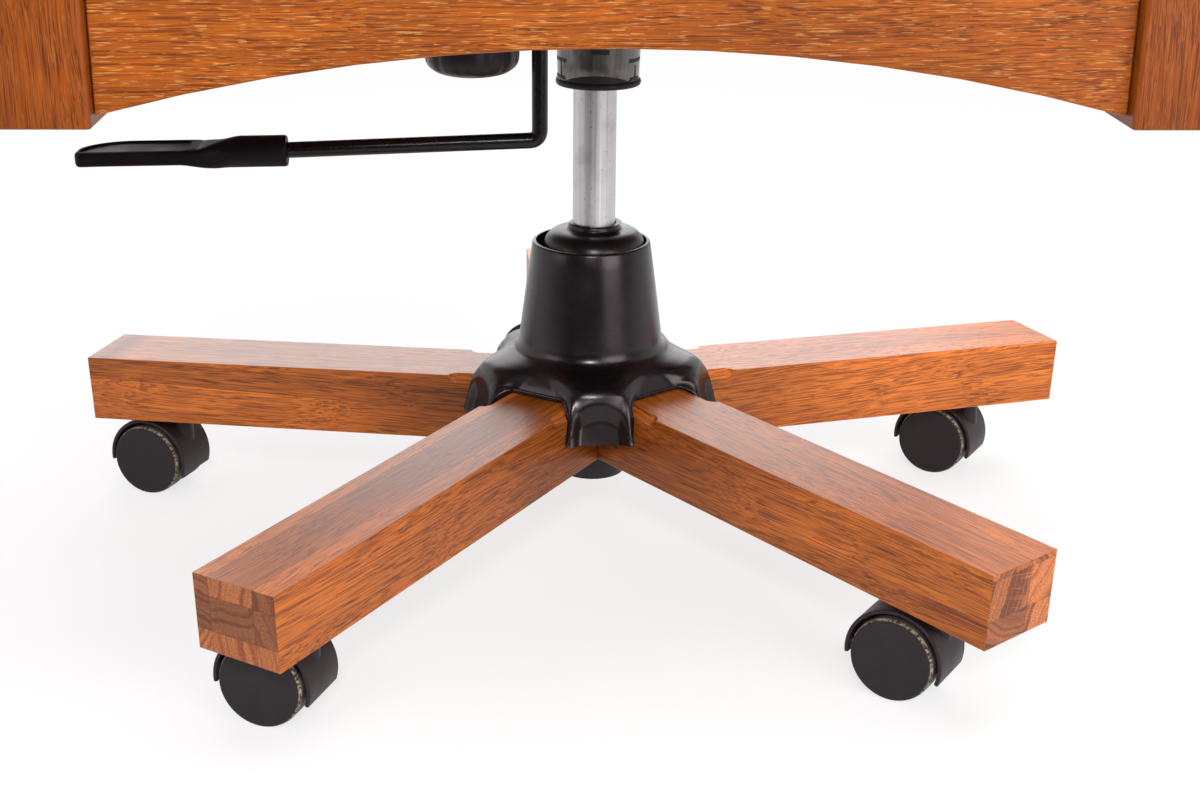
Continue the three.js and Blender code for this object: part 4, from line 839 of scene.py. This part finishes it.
def add_housing():
    def above(profile):
        return [(radius, COLLAR_FOOT + height) for radius, height in profile]

    place, steel_slot = at(COLLAR_SHIFT), "housing_steel"
    hem = above([(21.5, 4.2), (21.5, 0.5), (22, 0), (26.3, 0), (27.1, 0.7), (27.4, 2),
                 (27.1, 3.4), (26.4, 4.2), (26, 4.2), (21.5, 4.2)])
    turned("collar_hem", hem, bush_black, "lift", place, slot=steel_slot)
    tube = [*above([(25.5, 4), (26.2, 5.5), (26.4, 14)]), (27.4, TRAY_UNDER + 0.2)]
    turned("collar_turned", tube, housing_steel, "lift", place, slot=steel_slot)
    ring = above([(14.4, 0.6), (19, 0.4), (20.6, 1.2), (20.6, 3.6), (14.4, 3.6)])
    turned("collar_seal", ring, bush_black, "lift", at(0.4), 96, slot=steel_slot)
    slots_and_reflection = [patch(start, end, low, high) for start, end, low, high in (
        (-102, -78, 334.6, 337.3), (-180, -142, 328, 330.5), (-180, -146, 317.1, 319),
        (-157, -154.5, 319, 328), (-46, -8, 328, 330.5), (-43, -20, 316.6, 318.6),
        (-32, -29.5, 318.4, 326))]
    # Painted reflection: a dark arched band low on the collar's front, standing for the dust cap
    # and hub reflected in the rounded steel; the other plates are real slots and notches
    slots_and_reflection.append(patch(-149, -41, COLLAR_FOOT + 4.3, 321, 5.4))
    make("collar_slots", *merged(*slots_and_reflection), bush_black, "lift", place, slot=steel_slot)
    dressed("tilt_housing", housing_steel, "lift", 0.8)


SPRING_RADIUS, SPRING_WIRE, SPRING_TURNS = 12, 2, 5


def add_spring():
    """The tension spring, wound to fill the packed spring's box between the housing and the knob;
    it rides on no body.
    """
    low, high = ((Vector(corner) - AXIS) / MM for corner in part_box("tension_spring"))
    middle = (low + high) / 2
    foot, top = low.z + SPRING_WIRE, high.z - SPRING_WIRE
    coil = [Vector((*polar(SPRING_RADIUS, TURN * SPRING_TURNS * share),
                    foot + (top - foot) * share))
            for share in np.linspace(0, 1, SPRING_TURNS * 32 + 1)]
    centre = Vector((middle.x, middle.y, 0))
    spring = make("spring_wound", *sweep([centre + p for p in coil], SPRING_WIRE, 14),
                  spring_steel, None, at(), "tension_spring", 60)
    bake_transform(spring)


def add_knob():
    outer = catmull([(0.01, 0), (9, 0.25), (16, 1.1), (21.5, 2.8), (25.2, 5.2), (27.2, 8.4),
                     (27.8, 12), (27.9, 17)], 5)
    inner = [(27.8, 20.8), (27.2, 21.7), (26.2, 22), (24, 22), (24, 7.8), (5.3, 7.8)]
    verts, faces = lathe(outer + inner, 144)
    fluted = []
    for x, y, z in verts:
        radius, angle = hypot(x, y), atan2(y, x)
        wave = 0.5 - 0.5 * cos(angle * 12)
        depth = 0.75 * wave ** 3 * rise(radius, 20, 26)
        share = (radius - depth) / radius if radius > 1 else 1
        fluted.append((x * share, y * share, z))
    make("knob_moulded", fluted, faces, knob_black, "tension_knob",
         at(*KNOB_PLACE, KNOB_FOOT), "tension_knob", 50)


def bent(points, bend):
    """A path through 3-D points with rounded corners."""
    pts = [Vector(p) for p in points]
    path = [pts[0]]
    for before, corner, after in zip(pts, pts[1:], pts[2:]):
        start = corner + (before - corner).normalized() * bend
        end = corner + (after - corner).normalized() * bend
        path += [start * (1 - t) ** 2 + corner * 2 * t * (1 - t) + end * t ** 2
                 for t in np.linspace(0, 1, 11).tolist()]
    path.append(pts[-1])
    return path


# The handle: a round socket that spreads into a flat paddle, with its sizes before and behind
# the rod; the paddle's corners are rounded by a small radius before and a large one behind
HANDLE_MOUTH, HANDLE_TIP, HANDLE_GRIP = 9.2, 121.5, 30
PADDLE_BEFORE, PADDLE_BEHIND, PADDLE_TOP, PADDLE_FOOT, PADDLE_RIM = 13, 22, 3.6, -5.6, 2.6
ROUND_BEFORE, ROUND_BEHIND = 5, 30


def handle_ring(x):
    """The handle's outline at a distance from its mouth."""
    left = HANDLE_TIP - x
    spread = rise(x, 33, 56)
    mouth = 1 - 0.06 * rise(-x, -1.2, 0)

    def width(full, radius):
        half = HANDLE_MOUTH + (full - HANDLE_MOUTH) * spread
        if left < radius:
            half -= radius - sqrt(radius ** 2 - (radius - left) ** 2)
        return half

    def height(full, share):
        return (copysign(HANDLE_MOUTH, full) * (1 - share) + full * share) * mouth

    before, behind = width(PADDLE_BEFORE, ROUND_BEFORE), width(PADDLE_BEHIND, ROUND_BEHIND)
    top = height(PADDLE_TOP, min(max((x - 29) / 22, 0), 1))
    foot = height(PADDLE_FOOT, rise(x, 38, 62))
    thin = 1 - (1 - min(left / 3, 1)) ** 2
    wide = (before + behind) / 2 * mouth
    tall = (top - foot) / 2 * (0.35 + 0.65 * sqrt(thin))

    def rounded_square(value):
        return copysign(abs(value) ** (2 / (2 + 5 * spread)), value)

    ring = []
    for k in range(80):
        across, upward = (rounded_square(value) for value in polar(1, TURN * k / 80))
        ring.append((-x, (behind - before) / 2 + wide * across, (top + foot) / 2 + tall * upward))
    return ring


def paddle_recess():
    """The outline of the recess in the paddle's top, a rim's width inside its edge."""
    corners = [(-57, PADDLE_BEHIND - PADDLE_RIM - 4), (-61, PADDLE_BEHIND - PADDLE_RIM)]
    for radius, y, start in ((ROUND_BEHIND, PADDLE_BEHIND - ROUND_BEHIND, 90),
                             (ROUND_BEFORE, ROUND_BEFORE - PADDLE_BEFORE, 180)):
        for k in range(17):
            x, aside, _ = around(radius - PADDLE_RIM, 0, start + 90 * k / 16)
            corners.append((radius - HANDLE_TIP + x, y + aside))
    return corners + [(-60, PADDLE_RIM - PADDLE_BEFORE), (-57, PADDLE_RIM - PADDLE_BEFORE + 3)]


def add_lever():
    fall, run = radians(2.3), 178
    corner = Vector((LEVER_SIDE, LEVER_Y, LEVER_RUN_Z))
    end = corner + Vector((-cos(fall), 0, -sin(fall))) * run
    path = bent([(6, 0, LEVER_HEIGHT), (LEVER_SIDE, 0, LEVER_HEIGHT),
                 (LEVER_SIDE, LEVER_Y, LEVER_HEIGHT), corner, end], 6.4)
    make("lever_bent", *sweep(path, 4.7, 32), lever_black, "lever", at(), "lever_rod")
    stations = [0, 0.5, 1.2, *np.linspace(3, 31, 8), *np.linspace(32, 62, 31),
                *np.linspace(64, 90, 10),
                *(90 + 31.4 * sin(pi / 2 * k / 30) for k in range(1, 31))]
    half_way = end.lerp(corner, HANDLE_GRIP / run).lerp(end, 0.5)
    place = at(*half_way) @ Matrix.Rotation(-radians(1), 4, "Y") @ at(HANDLE_GRIP / 2)
    handle = make("handle_moulded", *skin([handle_ring(x) for x in stations]), handle_black,
                  "lever", place, "lever_handle", 40)
    carve(handle, *slab(paddle_recess(), 2, 12, "Z"))
    rounded(handle, 0.35, 2, 50)


# Base arms, seat frame, back and hardware
def add_frame():
    for i in range(5):
        dressed(f"base_arm_{i + 1}", arm_oaks[i], "base", 0.6, at(heading=arm_angle(i)), 2, 35)
    for material, edge, *names in (
            (oak_post, 1, "front_post_left", "front_post_right"),
            (oak_back, 1.6, "rear_post_left", "rear_post_right"),
            (oak_rail["X"], 1.4, "front_rail", "rear_rail", "seat_batten_front",
             "seat_batten_rear", "crest_rail", "lower_back_rail"),
            (oak_rail["Y"], 1.4, "side_rail_left", "side_rail_right"),
            (oak_rail["Y"], 2.2, "armrest_left", "armrest_right"),
            (oak_back, 1.6, *(f"back_slat_{i + 1}" for i in range(5))),
            (plywood, 0.6, "seat_board"), (plate_black, 0.6, "seat_plate")):
        for name in names:
            dressed(name, material, "seat", edge)


def add_hardware():
    """Steel and bushes as packed, and the bolts of the seat plate."""
    for material, *names in (
            (bright_steel, "tilt_pivot_pin", "tension_bolt", "piston_rod", "retaining_clip",
             "release_pin", "thrust_bearing"),
            (socket_steel, "hub_socket"), (bush_black, "guide_bush")):
        for name in names:
            nodes[name].data.materials.clear()
            nodes[name].data.materials.append(material)
    for x in (-86, 86):
        for y in (-141, 81):
            head = lathe([(0, 394.6), (4.6, 394.6), (6.8, 396.2), (7, 399.7), (0, 399.7)], 6)
            washer = lathe([(0, 398.4), (9, 398.4), (9.2, 399.8), (0, 399.8)], 48)
            make(f"plate_bolt_{x}_{y}".replace("-", "n"), *merged(head, washer), bright_steel,
                 "seat", at(x, y), slot="bright_steel")


# Cushion, in metres: a cloth cover blown up over the solid's shape, with welts and a seam
CUSHION_INSET = (0.012, 0.012, 0.01)
CUSHION_VOXEL, CUSHION_GROWTH = 0.006, 0.022
CUSHION_ROOM = ((-0.001, -0.001, 0.0002), (0.001, 0.001, 0.012))
CLOTH = {"quality": 5, "mass": 0.4, "tension_stiffness": 12, "compression_stiffness": 12,
         "bending_stiffness": 4, "use_pressure": True, "uniform_pressure_force": 3.2}
CLOTH_STEPS = 14


def points_of(piece):
    return np.array([v.co[:] for v in piece.data.vertices])


def add_cushion():
    low, high = (Vector(c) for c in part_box("seat_cushion"))
    middle = (low + high) / 2
    mesh = nodes["seat_cushion"].data.copy()
    shrink = [1 - inset / side for inset, side in zip(CUSHION_INSET, high - low)]
    mesh.transform(Matrix.Translation(middle) @ Matrix.Diagonal((*shrink, 1))
                   @ Matrix.Translation(-middle))
    cover = linked("cushion_cover", mesh)
    voxels = cover.modifiers.new("voxels", "REMESH")
    voxels.mode = "VOXEL"
    voxels.voxel_size = CUSHION_VOXEL
    settle(cover)
    before = points_of(cover)
    settings = cover.modifiers.new("cloth", "CLOTH").settings
    for key, value in CLOTH.items():
        setattr(settings, key, value)
    settings.effector_weights.gravity = 0
    for step in range(1, CLOTH_STEPS + 1):
        SCENE.frame_set(step)
    settle(cover)
    SCENE.frame_set(1)
    shift = points_of(cover) - before
    length = np.linalg.norm(shift, axis=1, keepdims=True)
    shift *= np.minimum(1, CUSHION_GROWTH / np.maximum(length, 1e-9))
    lowest, highest = (np.array(c) + room for c, room in zip((low, high), CUSHION_ROOM))
    placed = np.clip(before + shift, lowest, highest)
    mesh = cover.data
    mesh.vertices.foreach_set("co", placed.ravel())
    mesh.update()
    bpy.data.objects.remove(cover)
    cushion = install("cushion_stuffed", mesh, leather, "seat", None, "seat_cushion", 180,
                      "leather")
    more = cushion.modifiers.new("smooth", "SUBSURF")
    more.levels = more.render_levels = 1
    add_welts(placed, low, high)


WELT_RADIUS, SEAM_DROP = 2.3, 4.2


def add_welts(surface, low, high):
    """Welts round the cushion's upper and lower edges, with stitches below the upper one."""
    middle = (low + high) / 2
    angles = np.arctan2(surface[:, 1] - middle.y, surface[:, 0] - middle.x)
    reach = np.hypot(surface[:, 0] - middle.x, surface[:, 1] - middle.y)
    for name, height in (("upper", high.z - 0.022), ("lower", low.z + 0.0075)):
        near = np.abs(surface[:, 2] - height) < CUSHION_VOXEL
        path = []
        for angle in np.linspace(-pi, pi, 220, endpoint=False):
            gap = np.abs((angles - angle + pi) % TURN - pi)
            pick = near & (gap < 0.03)
            if pick.any():
                far = float(np.quantile(reach[pick], 0.9)) + 0.0004
                path.append((middle.x + far * cos(angle), middle.y + far * sin(angle), height))
        line = np.array(path)
        for _ in range(3):
            line = (np.roll(line, 1, 0) + 2 * line + np.roll(line, -1, 0)) / 4
        loop = [Vector(p) / MM for p in line]
        rings = []
        for k, point in enumerate(loop):
            ahead = (loop[(k + 1) % len(loop)] - loop[k - 1]).normalized()
            out = ahead.cross(UP).normalized()
            rings.append([point + WELT_RADIUS * (cos(turn) * out + sin(turn) * UP)
                          for turn in np.linspace(0, TURN, 10, endpoint=False)])
        welt = make(f"cushion_welt_{name}", *skin(rings, looped=True), leather, "seat",
                    slot="leather")
        if name == "upper":
            add_stitches(loop)


def add_stitches(loop):
    """Two short stitches a step along a closed line of points, a seam's drop below it."""
    stitches = []
    for k, a in enumerate(loop):
        b = loop[(k + 1) % len(loop)]
        ahead = (b - a).normalized()
        out = Vector((ahead.y, -ahead.x, 0))
        for share in (0.25, 0.75):
            centre = a.lerp(b, share) - UP * SEAM_DROP
            stitches.append(sweep([centre - ahead * 1.3 + out * 0.2, centre + out * 0.6,
                                   centre + ahead * 1.3 + out * 0.2], 0.42, 6))
    make("cushion_stitches", *merged(*stitches), thread, "seat", slot="leather")


# Studio
def backdrop(tree, depth, low, high, dim):
    """How much shows, and how bright: white for the camera, and for mirrored rays white
    behind the chair and dim before it."""
    camera, glossy, through = (tree.add("LightPath").output(f"Is {kind} Ray")
                               for kind in ("Camera", "Glossy", "Transmission"))
    shiny = tree.math("MAXIMUM", glossy, through)
    level = tree.math("MAXIMUM", shiny * depth.range(low, high, dim, 1), camera)
    return tree.math("MAXIMUM", shiny, camera), level


def add_studio():
    mesh = bpy.data.meshes.new("floor")
    side = 30
    mesh.from_pydata([(-side, -side, 0), (side, -side, 0), (side, side, 0), (-side, side, 0)],
                     [], [(0, 1, 2, 3)])
    floor = linked("floor", mesh)
    floor.location.z = -0.0004
    ground = Tree(bpy.data.materials.new("ground"), "Material")
    place = ground.add("NewGeometry")
    seen, level = backdrop(ground, place.split()[1], -1.3, -0.25, 0.05)
    matt = ground.add("BsdfDiffuse", [(0.95, 0.925, 0.925)])
    glow = ground.add("Emission", ((0.985, 0.98, 0.983), level))
    share = seen * place.length().range(0.8, 2, 0.74, 1)
    ground.feed(ground.surface, ground.add("MixShader", (share, matt, glow)))
    mesh.materials.append(ground.owner)

    sky = Tree(bpy.data.worlds.new("studio"), "World")
    SCENE.world = sky.owner
    heading = sky.add("TexCoord")
    seen, level = backdrop(sky, heading.split()[1], -0.75, 0.15, 0.03)
    plain = (1 - seen) * 0.32
    sky.feed(sky.surface, sky.add("Background", ((1, 1, 1), level + plain)))

    for name, place, aim, size, power in (
            ("lamp_top", (0.4, 0.1, 3.1), (0, 0, 0.2), (2.6, 2.6), 100),
            ("lamp_left", (-2.7, -1.3, 1.2), (0, 0, 0.2), (1.4, 1.4), 14),
            ("lamp_right", (1.65, -2.3, 0.95), (0, 0, 0.15), (1.6, 1.6), 46),
            ("lamp_front", (-0.1, -2.3, 1.45), (0, 0, 0.15), (0.36, 0.28), 32),
            ("lamp_back", (-0.1, 3, 1.7), (0, 0, 0.3), (2.6, 2.6), 36)):
        lamp = bpy.data.lights.new(name, "AREA")
        lamp.shape = "RECTANGLE"
        lamp.size, lamp.size_y = size
        lamp.energy = power
        light = linked(name, lamp)
        light.location = place
        away = Vector(aim) - Vector(place)
        light.rotation_euler = away.to_track_quat("-Z", "Y").to_euler()


def add_camera():
    yaw, pitch, roll = (radians(a) for a in (2.847, 20.043, 0.618))
    lens = bpy.data.cameras.new("camera")
    lens.sensor_fit = "HORIZONTAL"
    lens.sensor_width = 36
    lens.lens = 54.94
    camera = linked("camera", lens)
    spot = TO_AXIS @ at(-52.9, -1170.1, 523.5, -yaw)
    level = Matrix.Rotation(TURN / 4 - pitch, 4, "X")
    camera.matrix_world = spot @ level @ Matrix.Rotation(roll, 4, "Z")
    SCENE.camera = camera


add_camera()
add_studio()
add_casters()
add_cover()
add_lift()
add_housing()
add_knob()
add_spring()
add_lever()
add_frame()
add_hardware()
add_cushion()

SCENE.view_settings.view_transform = "Standard"
